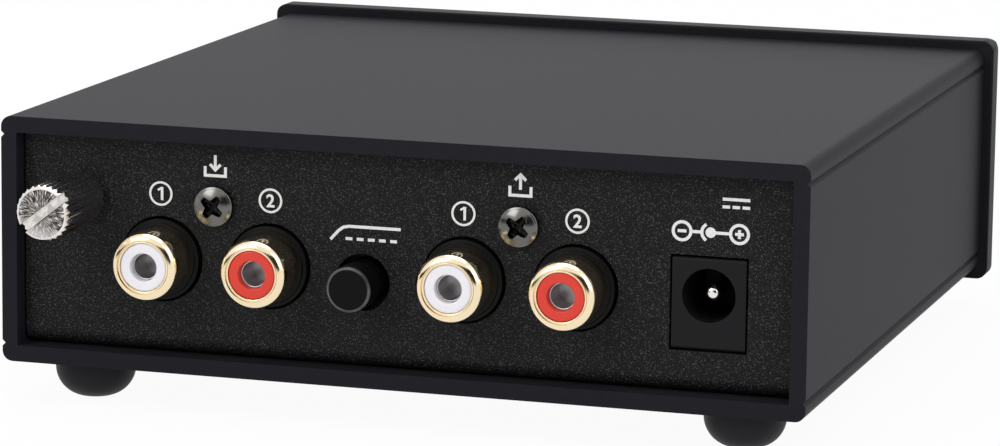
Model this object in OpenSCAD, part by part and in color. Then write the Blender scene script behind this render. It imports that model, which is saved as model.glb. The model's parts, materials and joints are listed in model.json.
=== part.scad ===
// Phono preamplifier in an extruded metal sleeve.
// A bent steel tray carries the circuit board and is also the rear panel. It is screwed to a
// thick front panel, and the sleeve slides over the tray from behind.
// +X is to the right seen from the front, the front panel is at -Y, the sockets are at +Y.
// The origin is under the middle of the whole object, on the plane that the feet stand on.

/* [Sleeve] */
// Width of the sleeve
sleeve_w = 100.7; // [99:0.1:112]
// Height of the sleeve
sleeve_h = 30.3; // [29.5:0.1:38]
// Length of the sleeve, from the front panel to its open rear end
sleeve_len = 101; // [98:0.5:130]
// Wall of the sleeve
sleeve_wall = 2; // [1.7:0.1:2.2]
// Outer corner radius of the sleeve
sleeve_corner_r = 1.3; // [0.8:0.1:1.7]
// Distance of each side groove from the sleeve's top or bottom
groove_inset = 2.25; // [1.9:0.05:3]
// Depth of the side grooves, which are as wide as they are twice deep
groove_depth = 0.4; // [0.2:0.05:0.6]

/* [Front panel] */
// Thickness of the front panel
front_t = 3.9; // [3.5:0.1:6]
// How far the front panel stands out past the sleeve on every side
front_overhang = 1.25; // [0.5:0.05:2]
// Corner radius of the front panel
front_corner_r = 1.6; // [0.8:0.1:3]
// Bevel round the front face
front_bevel = 0.5; // [0.2:0.1:0.8]
// Edge break round the back of the front panel
front_edge_break = 0.25; // [0.1:0.05:0.5]
// Diameter of the screws that hold the front panel
front_screw_d = 3; // [2.5:0.1:3]
// Depth of their blind holes in the front panel
front_screw_depth = 2.8; // [2:0.1:3]

/* [Tray and rear panel] */
// Sheet thickness of the tray
tray_t = 1.2; // [0.8:0.1:1.5]
// Outside radius of the tray's bends
tray_bend_r = 2; // [1.8:0.1:3]
// Depth of the rear panel below the sleeve's rear end
panel_recess = 2.2; // [1:0.1:4]
// Gap between the tray and the sleeve at the sides and the top
tray_gap = 0.2; // [0.1:0.05:0.4]
// Height of the front flange above the tray's underside
flange_h = 23; // [21:0.5:24]
// Distance of the front flange's ends from the tray's sides
flange_side = 4.15; // [3:0.05:5.5]
// Distance of the base screws from the sleeve's sides
base_screw_side = 16.35; // [15:0.05:20]
// Distance of the base screws from the sleeve's ends
base_screw_inset = 19; // [17:0.5:24]
// Diameter of the countersunk base screws
base_screw_d = 3; // [2.5:0.1:3.5]

/* [Feet] */
// Diameter of a rubber foot
foot_d = 9.9; // [9:0.1:12]
// Height of a rubber foot
foot_h = 5.1; // [4.5:0.1:8]
// Radius of the foot's rounded lower edge
foot_round = 3.7; // [2:0.1:3.9]
// Distance of the feet from the sleeve's sides
foot_side_inset = 9.1; // [8:0.1:12]
// Distance of the feet from the sleeve's ends
foot_end_inset = 7.9; // [7.5:0.1:12]

/* [Circuit board] */
// Thickness of the circuit board
pcb_t = 1.6; // [1.2:0.1:2]
// Height of the board's standoffs
standoff_h = 2.45; // [2.3:0.05:3.5]
// Width of a standoff across its flats' corners
standoff_d = 5.4; // [5:0.1:6]
// Distance of the standoffs from the board's sides
standoff_side = 4.3; // [4:0.1:5]
// Distance of the rear standoffs from the board's rear edge
standoff_rear = 27; // [24:0.5:32]
// Distance of the front standoffs from the board's front edge
standoff_front = 6; // [5:0.5:8]
// Diameter of the board screws
board_screw_d = 2.7; // [2.4:0.1:2.8]
// Gap between the board and the sleeve's side walls
pcb_side_gap = 1.5; // [1:0.1:3]
// Gap between the board and the front flange
pcb_front_gap = 3; // [2.6:0.1:5]
// Gap between the board and the rear panel
pcb_rear_gap = 0.6; // [0.4:0.1:1]

/* [Phono sockets] */
// Middle of the input pair, from the middle of the sleeve
input_pair_x = 23.45; // [22:0.05:24]
// Middle of the output pair, from the middle of the sleeve
output_pair_x = -14.85; // [-16:0.05:-14]
// Distance between the two sockets of a pair
jack_pitch = 13.8; // [13.4:0.1:14.4]
// Height of the socket axes above the board
jack_rise = 6.35; // [6:0.05:7]
// Height of a pair's screw above the socket axes
jack_screw_rise = 6.95; // [6.6:0.05:7.6]
// How far a socket stands out of the rear panel
jack_proud = 6.4; // [5.5:0.1:10]
// Outside radius of the gold shell
shell_r = 4.15; // [4:0.05:4.3]
// How much slimmer the shell is inside its housing
shell_step = 0.25; // [0.2:0.05:0.3]
// Width of the shell's rolled lip
lip_w = 0.8; // [0.6:0.05:0.9]
// Wall of the shell's inner ring
ring_w = 0.25; // [0.2:0.05:0.3]
// Radius of the coloured insulator
insulator_r = 3; // [2.8:0.05:3]
// Radius of the hole for the plug's pin
socket_hole_r = 1.7; // [1.65:0.05:1.8]
// Depth of the hole for the plug's pin
socket_hole_depth = 5; // [4:0.1:6]
// Outside radius of the collar round a shell
collar_r = 4.95; // [4.85:0.05:5.4]
// Height of the collar over the rear panel
collar_h = 1; // [0.6:0.1:1.4]
// Depth of the moulded socket housing behind the panel
jack_depth = 9; // [8:0.5:12]
// Head diameter of the socket screws
jack_screw_head_d = 4.9; // [4.4:0.1:5.4]
// Head height of the socket screws
jack_screw_head_h = 1.7; // [1.4:0.1:2]
// Shank diameter of the socket screws
jack_screw_d = 2.6; // [2.2:0.1:3]

/* [Ground terminal] */
// Distance of the ground screw from the sleeve's right side
ground_side = 9.6; // [8.6:0.05:11]
// Height of the ground screw above the sleeve's underside
ground_rise = 20.5; // [19:0.1:22]
// How far the ground screw stands out of the rear panel
ground_proud = 12.5; // [9:0.1:15]
// Diameter over the knurl
knurl_d = 6.9; // [6.2:0.1:8]
// Number of knurl teeth
knurl_teeth = 28; // [18:1:36]
// Depth of the knurl
knurl_depth = 0.35; // [0.15:0.05:0.4]
// Diameter of the ground screw's thread
ground_thread_d = 3.9; // [3.4:0.1:4]
// Width of the screwdriver slot
slot_w = 1.1; // [0.8:0.05:1.2]
// Depth of the screwdriver slot
slot_depth = 1.3; // [0.8:0.1:2]
// Turn of the slot from the vertical when the screw is tight
slot_turn = 52; // [0:1:180]
// Thickness of the captive lock washer
washer_t = 0.6; // [0.4:0.1:1]

/* [Push buttons] */
// Middle of the filter button, from the middle of the sleeve
filter_x = 4.75; // [4:0.05:5.2]
// Distance of the power button from the sleeve's left side
power_side = 17.35; // [16.5:0.05:19]
// Height of both button axes above the board
button_rise = 5.2; // [5:0.05:6]
// Diameter of the filter button
filter_d = 5.6; // [4.8:0.05:5.8]
// Diameter of the power button
power_d = 6; // [5:0.1:7]
// How far the filter button stands out of the rear panel
filter_proud = 5.2; // [4:0.1:7]
// How far the power button stands out of the front panel
power_proud = 2.5; // [2.2:0.1:4]
// Travel of both buttons
button_travel = 2; // [1:0.1:2]
// Gap round a button in its hole
button_gap = 0.6; // [0.3:0.05:0.8]
// Side of the square plunger between a switch and its button
plunger_side = 2.4; // [2:0.1:2.8]
// Width of a push switch
switch_w = 8.6; // [8:0.1:9]
// Height of a push switch
switch_h = 8.2; // [7.8:0.1:9]
// Length of a push switch
switch_len = 13; // [11:0.5:15]
// Length of the feet that a push switch stands on
switch_foot = 2; // [1:0.5:3]

/* [Power inlet and lamp] */
// Distance of the power inlet's middle from the sleeve's left side
inlet_side = 12.4; // [11.9:0.05:15]
// Width of the inlet's body
inlet_w = 9; // [8.6:0.1:9.6]
// Height of the inlet's body
inlet_h = 11; // [10.6:0.1:12]
// Length of the inlet's body
inlet_len = 14; // [12:0.5:16]
// Radius of the inlet's hole
inlet_hole_r = 3.2; // [3:0.05:3.4]
// Height of the inlet's hole above the board
inlet_rise = 6.5; // [6:0.1:7]
// Radius of the inlet's centre pin
inlet_pin_r = 1; // [0.9:0.05:1.25]
// Back wall of the inlet, which holds the pin
inlet_back_t = 3; // [2:0.1:4]
// Depth of the pin's tip below the inlet's face
inlet_pin_recess = 1.5; // [0.5:0.1:2.5]
// Gap round the inlet in the rear panel
inlet_gap = 0.2; // [0.1:0.05:0.4]
// Chamfer on the upper and lower edge of the inlet's face
inlet_chamfer = 0.3; // [0.1:0.05:0.5]
// Distance of the power lamp from the power button
lamp_pitch = 9; // [7.5:0.5:16]
// Diameter of the lamp's light pipe
lamp_d = 3; // [2:0.1:4]

/* [Setting switches] */
// Middle of each setting switch, from the middle of the sleeve
dip_x = 17; // [14:0.5:20]
// Distance of the setting switches from the board's front edge
dip_front = 39; // [37:0.5:43]
// Distance between sliders
dip_pitch = 2.54; // [2.4:0.02:2.8]
// Width of a setting switch across the sliders' travel
dip_w = 6.6; // [6.2:0.1:8]
// Height of a setting switch below the board
dip_h = 3.9; // [3.6:0.1:4]
// Travel of a slider
dip_travel = 1.6; // [1.2:0.1:1.8]
// Gap round a setting switch in the tray and in the sleeve's floor
dip_gap = 0.6; // [0.4:0.1:1]

/* [Board parts] */
// Body of an amplifier chip across its legs
chip_w = 6.4; // [6:0.1:6.6]
// Length of an amplifier chip
chip_len = 9.8; // [9.6:0.1:10.4]
// Height of an amplifier chip's body
chip_h = 3.2; // [2.8:0.1:4]
// Distance of the chips from the middle of the board
chip_x = 14; // [13:0.5:16]
// Distance of the rear chips behind the setting switches
chip_rear = 18; // [16:0.5:22]
// Distance of the front chips behind the setting switches
chip_front = 3; // [1:0.5:5]
// Diameter of the coupling capacitors
can_d = 8; // [6.3:0.1:9]
// Height of the coupling capacitors
can_h = 11.5; // [9:0.5:14]
// Distance of the coupling capacitors from the board's side
can_side = 18.85; // [10:0.05:20]
// Distance of the rear coupling capacitors behind the setting switches
can_rear = 10; // [9:0.5:13]
// Distance between the two coupling capacitors of a channel
can_pitch = 11; // [10:0.5:12]
// Diameter of the supply capacitors
supply_can_d = 10; // [8:0.5:11]
// Height of the supply capacitors
supply_can_h = 16; // [12:0.5:18]
// Distance of the supply capacitors from the board's front edge
supply_front = 22; // [21:0.5:24]
// Gap between the two supply capacitors
supply_gap = 2; // [1:0.1:2]
// Width of a film capacitor
film_w = 4.2; // [3:0.1:5]
// Length of a film capacitor
film_len = 7.2; // [6:0.1:7.6]
// Height of a film capacitor
film_h = 8; // [6:0.5:12]
// Distance between film capacitors
film_pitch = 6.2; // [5.5:0.1:7]
// Distance of the film capacitors' front ends from the setting switches
film_front = 15; // [14.5:0.5:18]
// Gap between the film capacitors and the resistors beside them
film_gap = 0.45; // [0.4:0.05:2]
// Radius of a resistor's body
resistor_r = 0.9; // [0.7:0.05:1.1]
// Length of a resistor's body
resistor_len = 6; // [5.5:0.1:6.4]
// Distance between resistors
resistor_pitch = 2.6; // [2.5:0.1:2.8]
// Distance of the resistors in front of the setting switches
resistor_front = 11; // [10.5:0.5:14]
// Width of the voltage regulator's heat sink
sink_w = 15; // [14.9:0.1:16]
// Height of the voltage regulator's heat sink
sink_h = 15; // [13:0.5:18]
// Distance of the heat sink in front of the supply capacitors
sink_front = 10; // [9.5:0.5:12]

/* [Fits] */
// Gap round pieces that are pushed or screwed into another piece
seat_gap = 0.05; // [0.03:0.01:0.08]
// Radial gap of the ground screw's thread in its insert
thread_gap = 0.05; // [0.03:0.01:0.08]
// Gap between pieces that slide past each other
slide_gap = 0.25; // [0.2:0.01:0.3]

/* [Hidden] */
$fn = 64;
// Overlap of shapes that are joined into one solid
slice = 0.01;
// How far a cutting shape reaches past what it cuts
past = 1;

front_w = sleeve_w + 2 * front_overhang;
front_h = sleeve_h + 2 * front_overhang;
rear_reach = max(ground_proud, jack_proud, filter_proud) - panel_recess;
overall_len = power_proud + front_t + sleeve_len + rear_reach;

// Planes across the length, from the rear to the front
y_sleeve_rear = overall_len / 2 - rear_reach;
y_panel = y_sleeve_rear - panel_recess;
y_panel_in = y_panel - tray_t;
y_sleeve_front = y_sleeve_rear - sleeve_len;
y_flange_in = y_sleeve_front + tray_t;
y_front = y_sleeve_front - front_t;
y_pcb_rear = y_panel_in - pcb_rear_gap;
y_pcb_front = y_flange_in + pcb_front_gap;

// Planes across the height, from the bottom to the top
z_sleeve = foot_h;
z_tray = z_sleeve + sleeve_wall;
z_tray_top = z_tray + tray_t;
z_pcb = z_tray_top + standoff_h;
z_pcb_top = z_pcb + pcb_t;
z_roof = z_sleeve + sleeve_h - sleeve_wall;
z_jack = z_pcb_top + jack_rise;
z_jack_screw = z_jack + jack_screw_rise;
z_button = z_pcb_top + button_rise;
z_inlet = z_pcb_top + inlet_rise;
z_ground = z_sleeve + ground_rise;

// Places across the width that are measured from the sleeve's sides
ground_x = sleeve_w / 2 - ground_side;
power_x = power_side - sleeve_w / 2;
inlet_x = inlet_side - sleeve_w / 2;
lamp_x = power_x + lamp_pitch;

tray_w = sleeve_w - 2 * sleeve_wall - 2 * tray_gap;
flange_w = tray_w - 2 * flange_side;
pcb_w = sleeve_w - 2 * sleeve_wall - 2 * pcb_side_gap;
pcb_len = y_pcb_rear - y_pcb_front;

// Places of the feet, the base screws, the board's standoffs and the front panel's screws
foot_x = sleeve_w / 2 - foot_side_inset;
foot_y_rear = y_sleeve_rear - foot_end_inset;
foot_y_front = y_sleeve_front + foot_end_inset;
base_screw_x = sleeve_w / 2 - base_screw_side;
base_screw_ys = [y_sleeve_rear - base_screw_inset, y_sleeve_front + base_screw_inset];
standoff_x = pcb_w / 2 - standoff_side;
standoff_ys = [y_pcb_rear - standoff_rear, y_pcb_front + standoff_front];
front_screw_inset = 3.6;
front_screw_rise = 3;
front_screw_drop = 3.5;
front_screw_xs = [-flange_w / 2 + front_screw_inset, flange_w / 2 - front_screw_inset];
front_screw_zs = [z_pcb_top + front_screw_rise, z_tray + flange_h - front_screw_drop];

jack_xs = [input_pair_x + jack_pitch / 2, input_pair_x - jack_pitch / 2,
           output_pair_x + jack_pitch / 2, output_pair_x - jack_pitch / 2];

// Parts of a phono socket, from its shell inwards and from its face backwards
shell_groove = 0.06;
shell_step_r = shell_r - shell_step;
shell_ring_r = shell_r - lip_w - shell_groove;
insulator_outer_r = min(insulator_r, shell_ring_r - ring_w - seat_gap);
insulator_face = 0.2;
contact_r = 2.25;
contact_wall = 0.3;
contact_gap = 0.1;
contact_back = 1.2;
jack_len = jack_proud + tray_t + jack_depth;

// Boss on a socket housing, and the blind hole in it for the screw
boss_len = jack_depth - 1;
boss_hole = boss_len - 1;

// Root of the inlet's pin, in the inlet's back wall
inlet_root_r = inlet_pin_r - 0.25;

// Parts of the ground terminal
insert_r = ground_thread_d / 2 + 0.75;
ground_neck_r = ground_thread_d / 2 - 0.4;
washer_play = 0.1;

// How far a button reaches in past its sheet, and the free and the guided length of its plunger
button_inside = 1.5;
plunger_free = button_travel + 1.2;
plunger_guided = 5;
plunger_len = plunger_free + plunger_guided;
plunger_cavity = plunger_guided + button_travel + 0.8;

// Setting switches: number of sliders in each, which are a node each, and their sizes
dip_ways = 4;
dip_xs = [-dip_x, dip_x];
dip_y = y_pcb_front + dip_front;
dip_len = dip_ways * dip_pitch + 1.6;
dip_knob = [1.1, 1.3];
dip_slot_depth = 1.4;

// Spacing of legs on common board parts
leg_pitch = 2.54;
supply_y = y_pcb_front + supply_front;
resistor_cap_r = resistor_r + 0.25;
resistor_count = 4;
resistor_step_in = 1.4;
resistor_first_x = chip_x - resistor_step_in;
resistor_last_x = resistor_first_x + (resistor_count - 1) * resistor_pitch;

black = "#1d1e20";
gold = "#e0b96a";
steel = "#b9bcc0";

// ---- Helpers ----

// Rectangle with round corners, centred on the origin
module rounded_rect(w, h, r) {
    square([w - 2 * r, h], center = true);
    square([w, h - 2 * r], center = true);
    for (sx = [-1, 1], sy = [-1, 1])
        translate([sx * (w / 2 - r), sy * (h / 2 - r)]) circle(r = r);
}

// Extrudes a profile drawn in X and Z back from y_rear, towards the front
module along_y(y_rear, length) {
    translate([0, y_rear, 0]) rotate([90, 0, 0]) linear_extrude(length) children();
}

// Extrudes a profile drawn in Y and Z across the width, centred on x = 0
module across_x(width) {
    translate([-width / 2, 0, 0]) rotate([90, 0, 90]) linear_extrude(width) children();
}

// Cylinder along Y, from y_rear towards the front
module rod_y(x, y_rear, z, r, length) {
    translate([x, y_rear, z]) rotate([90, 0, 0]) cylinder(r = r, h = length);
}

// Cuts a round hole through a wall of thickness t whose rear face is at y_rear
module hole_y(x, y_rear, z, r, t) {
    rod_y(x, y_rear + past, z, r, t + 2 * past);
}

// Quarter ring: the section of a bend of sheet t whose outside radius is r
module bend_section(r, t) {
    intersection() {
        difference() {
            circle(r = r);
            circle(r = r - t);
        }
        square([r, r]);
    }
}

// Screw with a domed head: the head stands on z = 0, the shank goes down
module pan_screw(head_d, head_h, shank_d, shank_len) {
    dome_r = head_d * 0.95;
    recess_w = head_d * 0.64;
    recess_depth = head_h * 0.7;
    difference() {
        intersection() {
            cylinder(d = head_d, h = head_h);
            translate([0, 0, head_h - dome_r]) sphere(r = dome_r);
        }
        cross_recess(recess_w, recess_w * 0.28, recess_depth, head_h);
    }
    translate([0, 0, -shank_len]) cylinder(d = shank_d, h = shank_len + slice);
}

// Cross recess of a screwdriver, cut down from z_top, with a tapered middle
module cross_recess(span, blade, depth, z_top) {
    middle_d = span * 0.62;
    translate([0, 0, z_top - depth]) {
        for (a = [45, 135])
            rotate([0, 0, a]) translate([-span / 2, -blade / 2, 0]) cube([span, blade, depth + past]);
        cylinder(d1 = blade, d2 = middle_d, h = depth + slice);
    }
}

// ---- Sleeve and front panel ----

// V grooves along both sides of the sleeve
module side_grooves() {
    for (side = [-1, 1], z = [z_sleeve + groove_inset, z_sleeve + sleeve_h - groove_inset])
        polygon([[side * (sleeve_w / 2 + slice), z - groove_depth],
                 [side * (sleeve_w / 2 - groove_depth), z],
                 [side * (sleeve_w / 2 + slice), z + groove_depth]]);
}

module sleeve_profile() {
    difference() {
        translate([0, z_sleeve + sleeve_h / 2]) difference() {
            rounded_rect(sleeve_w, sleeve_h, sleeve_corner_r);
            rounded_rect(sleeve_w - 2 * sleeve_wall, sleeve_h - 2 * sleeve_wall, tray_gap);
        }
        side_grooves();
    }
}

// Cuts the windows of the setting switches through the sleeve's floor and the tray's
module dip_windows() {
    w = dip_len + 2 * dip_gap;
    d = dip_w + 2 * dip_gap;
    for (x = dip_xs)
        translate([x - w / 2, dip_y - d / 2, z_sleeve - past])
            cube([w, d, z_tray_top - z_sleeve + 2 * past]);
}

module sleeve() {
    hole_d = base_screw_d + 0.4;
    sink_d = base_screw_d * 2 + 0.2;
    color(black) difference() {
        along_y(y_sleeve_rear, sleeve_len) sleeve_profile();
        dip_windows();
        for (sx = [-1, 1], y = base_screw_ys) translate([sx * base_screw_x, y, z_sleeve]) {
            translate([0, 0, -past]) cylinder(d = hole_d, h = sleeve_wall + 2 * past);
            translate([0, 0, -slice]) cylinder(d1 = sink_d, d2 = hole_d, h = base_screw_d / 2);
        }
    }
}

module front_panel() {
    color(black) difference() {
        intersection() {
            along_y(y_sleeve_front, front_t)
                translate([0, z_sleeve + sleeve_h / 2]) rounded_rect(front_w, front_h, front_corner_r);
            across_x(front_w + 2 * past)
                translate([0, z_sleeve + sleeve_h / 2]) bevelled_section(front_h / 2);
            translate([0, 0, z_sleeve - front_overhang - past]) linear_extrude(front_h + 2 * past)
                rotate([0, 0, -90]) mirror([1, 0]) bevelled_section(front_w / 2);
        }
        for (x = front_screw_xs, z = front_screw_zs)
            rod_y(x, y_sleeve_front + slice, z, front_screw_d / 2 + seat_gap, front_screw_depth + slice);
        hole_y(power_x, y_sleeve_front, z_button, power_d / 2 + button_gap / 2, front_t);
        hole_y(lamp_x, y_sleeve_front, z_button, lamp_d / 2 + seat_gap, front_t);
    }
}

// Section through the front panel's thickness, which lies along the first axis: bevelled at
// the front and with broken edges at the back
module bevelled_section(half) {
    b = front_bevel;
    e = front_edge_break;
    polygon([[y_front, half - b], [y_front + b, half],
             [y_sleeve_front - e, half], [y_sleeve_front, half - e],
             [y_sleeve_front, e - half], [y_sleeve_front - e, -half],
             [y_front + b, -half], [y_front, b - half]]);
}

// Screws from inside the tray, which reach nearly to the bottom of their blind holes
module front_panel_screws() {
    head_d = front_screw_d * 1.8;
    head_h = 1.9;
    end_gap = 0.3;
    color(steel) for (x = front_screw_xs, z = front_screw_zs)
        translate([x, y_flange_in, z]) rotate([-90, 0, 0])
            pan_screw(head_d, head_h, front_screw_d, tray_t + front_screw_depth - end_gap);
}

// ---- Tray, which is also the rear panel ----

// The rear panel, the bend below it and the floor
module tray_profile() {
    translate([y_panel_in, z_tray + tray_bend_r])
        square([tray_t, z_roof - tray_gap - z_tray - tray_bend_r]);
    translate([y_sleeve_front + tray_bend_r, z_tray])
        square([y_panel - y_sleeve_front - 2 * tray_bend_r, tray_t]);
    translate([y_panel - tray_bend_r, z_tray + tray_bend_r])
        mirror([0, 1]) bend_section(tray_bend_r, tray_t);
}

// The front flange, which is narrower than the floor that it is bent up from
module flange_profile() {
    root = 2;
    translate([y_sleeve_front, z_tray + tray_bend_r]) square([tray_t, flange_h - tray_bend_r]);
    translate([y_sleeve_front + tray_bend_r, z_tray]) square([root, tray_t]);
    translate([y_sleeve_front + tray_bend_r, z_tray + tray_bend_r])
        rotate([0, 0, 180]) bend_section(tray_bend_r, tray_t);
}

module rear_panel_holes() {
    jack_screw_gap = 0.2;
    for (x = jack_xs) hole_y(x, y_panel, z_jack, collar_r + slide_gap, tray_t);
    for (x = [input_pair_x, output_pair_x])
        hole_y(x, y_panel, z_jack_screw, jack_screw_d / 2 + jack_screw_gap, tray_t);
    hole_y(filter_x, y_panel, z_button, filter_d / 2 + button_gap, tray_t);
    hole_y(ground_x, y_panel, z_ground, insert_r + seat_gap, tray_t);
    translate([inlet_x - inlet_w / 2 - inlet_gap, y_panel_in - past, z_pcb_top - inlet_gap])
        cube([inlet_w + 2 * inlet_gap, tray_t + 2 * past, inlet_h + 2 * inlet_gap]);
}

module front_flange_holes() {
    screw_gap = 0.15;
    lamp_gap = 0.4;
    for (x = front_screw_xs, z = front_screw_zs)
        hole_y(x, y_flange_in, z, front_screw_d / 2 + screw_gap, tray_t);
    hole_y(power_x, y_flange_in, z_button, power_d / 2 + button_gap, tray_t);
    hole_y(lamp_x, y_flange_in, z_button, lamp_d / 2 + lamp_gap, tray_t);
}

// Folded sheet with its front flange, and with drawn and tapped collars for the base screws
module chassis_tray() {
    collar_wall = 1.2;
    collar_rise = 1.2;
    collar_d = base_screw_d + 2 * collar_wall;
    tapped_len = tray_t + collar_rise;
    color("#232427") difference() {
        union() {
            across_x(tray_w) tray_profile();
            across_x(flange_w) flange_profile();
            for (sx = [-1, 1], y = base_screw_ys)
                translate([sx * base_screw_x, y, z_tray]) cylinder(d = collar_d, h = tapped_len);
        }
        for (sx = [-1, 1], y = base_screw_ys)
            translate([sx * base_screw_x, y, z_tray - past])
                cylinder(d = base_screw_d + 2 * seat_gap, h = tapped_len + 2 * past);
        rear_panel_holes();
        front_flange_holes();
        dip_windows();
    }
}

// Countersunk screw that goes up from z = 0, with its head flush with the sleeve's underside
module base_screw() {
    length = sleeve_wall + tray_t + 1;
    recess_depth = 1;
    difference() {
        union() {
            cylinder(d = base_screw_d, h = length);
            cylinder(d1 = base_screw_d * 2, d2 = base_screw_d, h = base_screw_d / 2);
        }
        mirror([0, 0, 1]) cross_recess(base_screw_d, base_screw_d * 0.28, recess_depth, 0);
    }
}

module base_screws() {
    color(steel) for (sx = [-1, 1], y = base_screw_ys)
        translate([sx * base_screw_x, y, z_sleeve]) base_screw();
}

// ---- Feet ----

module foot_profile() {
    r = foot_d / 2;
    square([r - foot_round, foot_h]);
    translate([0, foot_round]) square([r, foot_h - foot_round]);
    intersection() {
        translate([r - foot_round, foot_round]) circle(r = foot_round);
        square([r, foot_h]);
    }
}

module foot(x, y) {
    color("#17181a") translate([x, y, 0]) rotate_extrude() foot_profile();
}

module foot_rear_left() foot(-foot_x, foot_y_rear);
module foot_rear_right() foot(foot_x, foot_y_rear);
module foot_front_left() foot(-foot_x, foot_y_front);
module foot_front_right() foot(foot_x, foot_y_front);

// ---- Circuit board ----

// Puts its children at each standoff, on the plane z
module at_standoffs(z) {
    for (sx = [-1, 1], y = standoff_ys) translate([sx * standoff_x, y, z]) children();
}

module circuit_board() {
    hole_d = board_screw_d + 0.5;
    color("#1f5a3a") difference() {
        translate([-pcb_w / 2, y_pcb_front, z_pcb]) cube([pcb_w, pcb_len, pcb_t]);
        at_standoffs(z_pcb - past) cylinder(d = hole_d, h = pcb_t + 2 * past);
        for (x = jack_xs) contact_tail(x, seat_gap);
    }
}

module board_standoffs() {
    color(steel) at_standoffs(z_tray_top) difference() {
        cylinder(d = standoff_d, h = standoff_h, $fn = 6);
        translate([0, 0, -past]) cylinder(d = board_screw_d + 2 * seat_gap, h = standoff_h + 2 * past);
    }
}

module board_screws() {
    head_d = 5;
    head_h = 1.9;
    end_gap = 0.2;
    color(steel) at_standoffs(z_pcb_top)
        pan_screw(head_d, head_h, board_screw_d, pcb_t + standoff_h - end_gap);
}

// ---- Phono sockets ----

// Moulded housing of two sockets: a front plate, two barrels with collars that stand in the
// rear panel's holes, feet, a web between the barrels, and a lug with a boss for the screw
module jack_housing(pair_x) {
    plate_t = 2.4;
    plate_margin = 0.5;
    plate_corner_r = 1.2;
    barrel_r = collar_r + 0.6;
    plate_w = jack_pitch + 2 * (barrel_r + plate_margin);
    plate_h = jack_rise + barrel_r;
    lug_w = 7;
    lug_h = jack_screw_rise + lug_w / 2;
    lug_corner_r = 1.5;
    boss_r = 2.6;
    // The collar's outer step is lower than its face
    step_w = 0.45;
    step_h = collar_h * 0.6;
    foot_inset = 1;
    web_t = 2;
    web_inset = 2;
    color(black) difference() {
        union() {
            along_y(y_panel_in, plate_t) {
                translate([pair_x, z_pcb_top + plate_h / 2]) rounded_rect(plate_w, plate_h, plate_corner_r);
                translate([pair_x, z_jack + lug_h / 2]) rounded_rect(lug_w, lug_h, lug_corner_r);
            }
            rod_y(pair_x, y_panel_in, z_jack_screw, boss_r, boss_len);
            for (x = [pair_x - jack_pitch / 2, pair_x + jack_pitch / 2]) {
                rod_y(x, y_panel_in, z_jack, barrel_r, jack_depth);
                translate([x - barrel_r + foot_inset, y_panel_in - jack_depth, z_pcb_top])
                    cube([2 * (barrel_r - foot_inset), jack_depth - plate_t + slice, jack_rise]);
                rod_y(x, y_panel + step_h, z_jack, collar_r, step_h + tray_t + slice);
                rod_y(x, y_panel + collar_h, z_jack, collar_r - step_w, collar_h + tray_t + slice);
            }
            translate([pair_x - jack_pitch / 2, y_panel_in - jack_depth + web_inset, z_jack - web_t / 2])
                cube([jack_pitch, jack_depth - web_inset - slice, web_t]);
        }
        for (x = [pair_x - jack_pitch / 2, pair_x + jack_pitch / 2])
            hole_y(x, y_panel + collar_h, z_jack, shell_step_r + seat_gap, collar_h + tray_t + jack_depth);
        rod_y(pair_x, y_panel_in + past, z_jack_screw, jack_screw_d / 2 + seat_gap, boss_hole + past);
    }
}

module input_jack_housing() jack_housing(input_pair_x);
module output_jack_housing() jack_housing(output_pair_x);

module jack_screw(pair_x) {
    end_gap = 1;
    shank_len = tray_t + boss_hole - end_gap;
    color("#2a2b2e") translate([pair_x, y_panel, z_jack_screw]) rotate([-90, 0, 0])
        pan_screw(jack_screw_head_d, jack_screw_head_h, jack_screw_d, shank_len);
}

module input_jack_screw() jack_screw(input_pair_x);
module output_jack_screw() jack_screw(output_pair_x);

// Half section of a shell: radius along X, distance behind the tip along -Y. The outer wall
// has a rolled lip and is slimmer inside the housing, and a groove parts it from an inner ring.
module shell_profile() {
    lip_r = lip_w / 2;
    groove_r = shell_r - lip_w;
    groove_depth = 0.6;
    ring_inset = 0.25;
    free = jack_proud - collar_h;
    translate([groove_r, -jack_len]) square([lip_w - shell_step, jack_len - lip_r]);
    translate([groove_r, -free]) square([lip_w, free - lip_r]);
    translate([shell_r - lip_r, -lip_r]) circle(r = lip_r);
    translate([shell_ring_r - ring_w, -jack_len]) square([ring_w, jack_len - ring_inset]);
    translate([shell_ring_r - slice, -jack_len])
        square([shell_groove + 2 * slice, jack_len - ring_inset - groove_depth]);
}

module shell(x) {
    color(gold) translate([x, y_panel + jack_proud, z_jack]) rotate([-90, 0, 0])
        rotate_extrude() shell_profile();
}

module input_left_shell() shell(jack_xs[0]);
module input_right_shell() shell(jack_xs[1]);
module output_left_shell() shell(jack_xs[2]);
module output_right_shell() shell(jack_xs[3]);

// Half section of an insulator, with its face just behind the lip, a hole for the plug's pin
// and a wider bore behind that takes the contact
module insulator_profile() {
    edge = 0.35;
    hole_wall = insulator_outer_r - socket_hole_r;
    bore_r = contact_r + seat_gap;
    bore_front = insulator_face + 1;
    translate([socket_hole_r, -socket_hole_depth - insulator_face]) {
        square([hole_wall - edge, socket_hole_depth]);
        square([hole_wall, socket_hole_depth - edge]);
    }
    translate([insulator_outer_r - edge, -insulator_face - edge]) circle(r = edge);
    translate([bore_r, -jack_len]) square([insulator_outer_r - bore_r, jack_len - bore_front]);
}

module insulator(x, tint) {
    color(tint) translate([x, y_panel + jack_proud, z_jack]) rotate([-90, 0, 0])
        rotate_extrude() insulator_profile();
}

module input_left_insulator() insulator(jack_xs[0], "#e9e9ec");
module input_right_insulator() insulator(jack_xs[1], "#e2453b");
module output_left_insulator() insulator(jack_xs[2], "#e9e9ec");
module output_right_insulator() insulator(jack_xs[3], "#e2453b");

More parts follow.
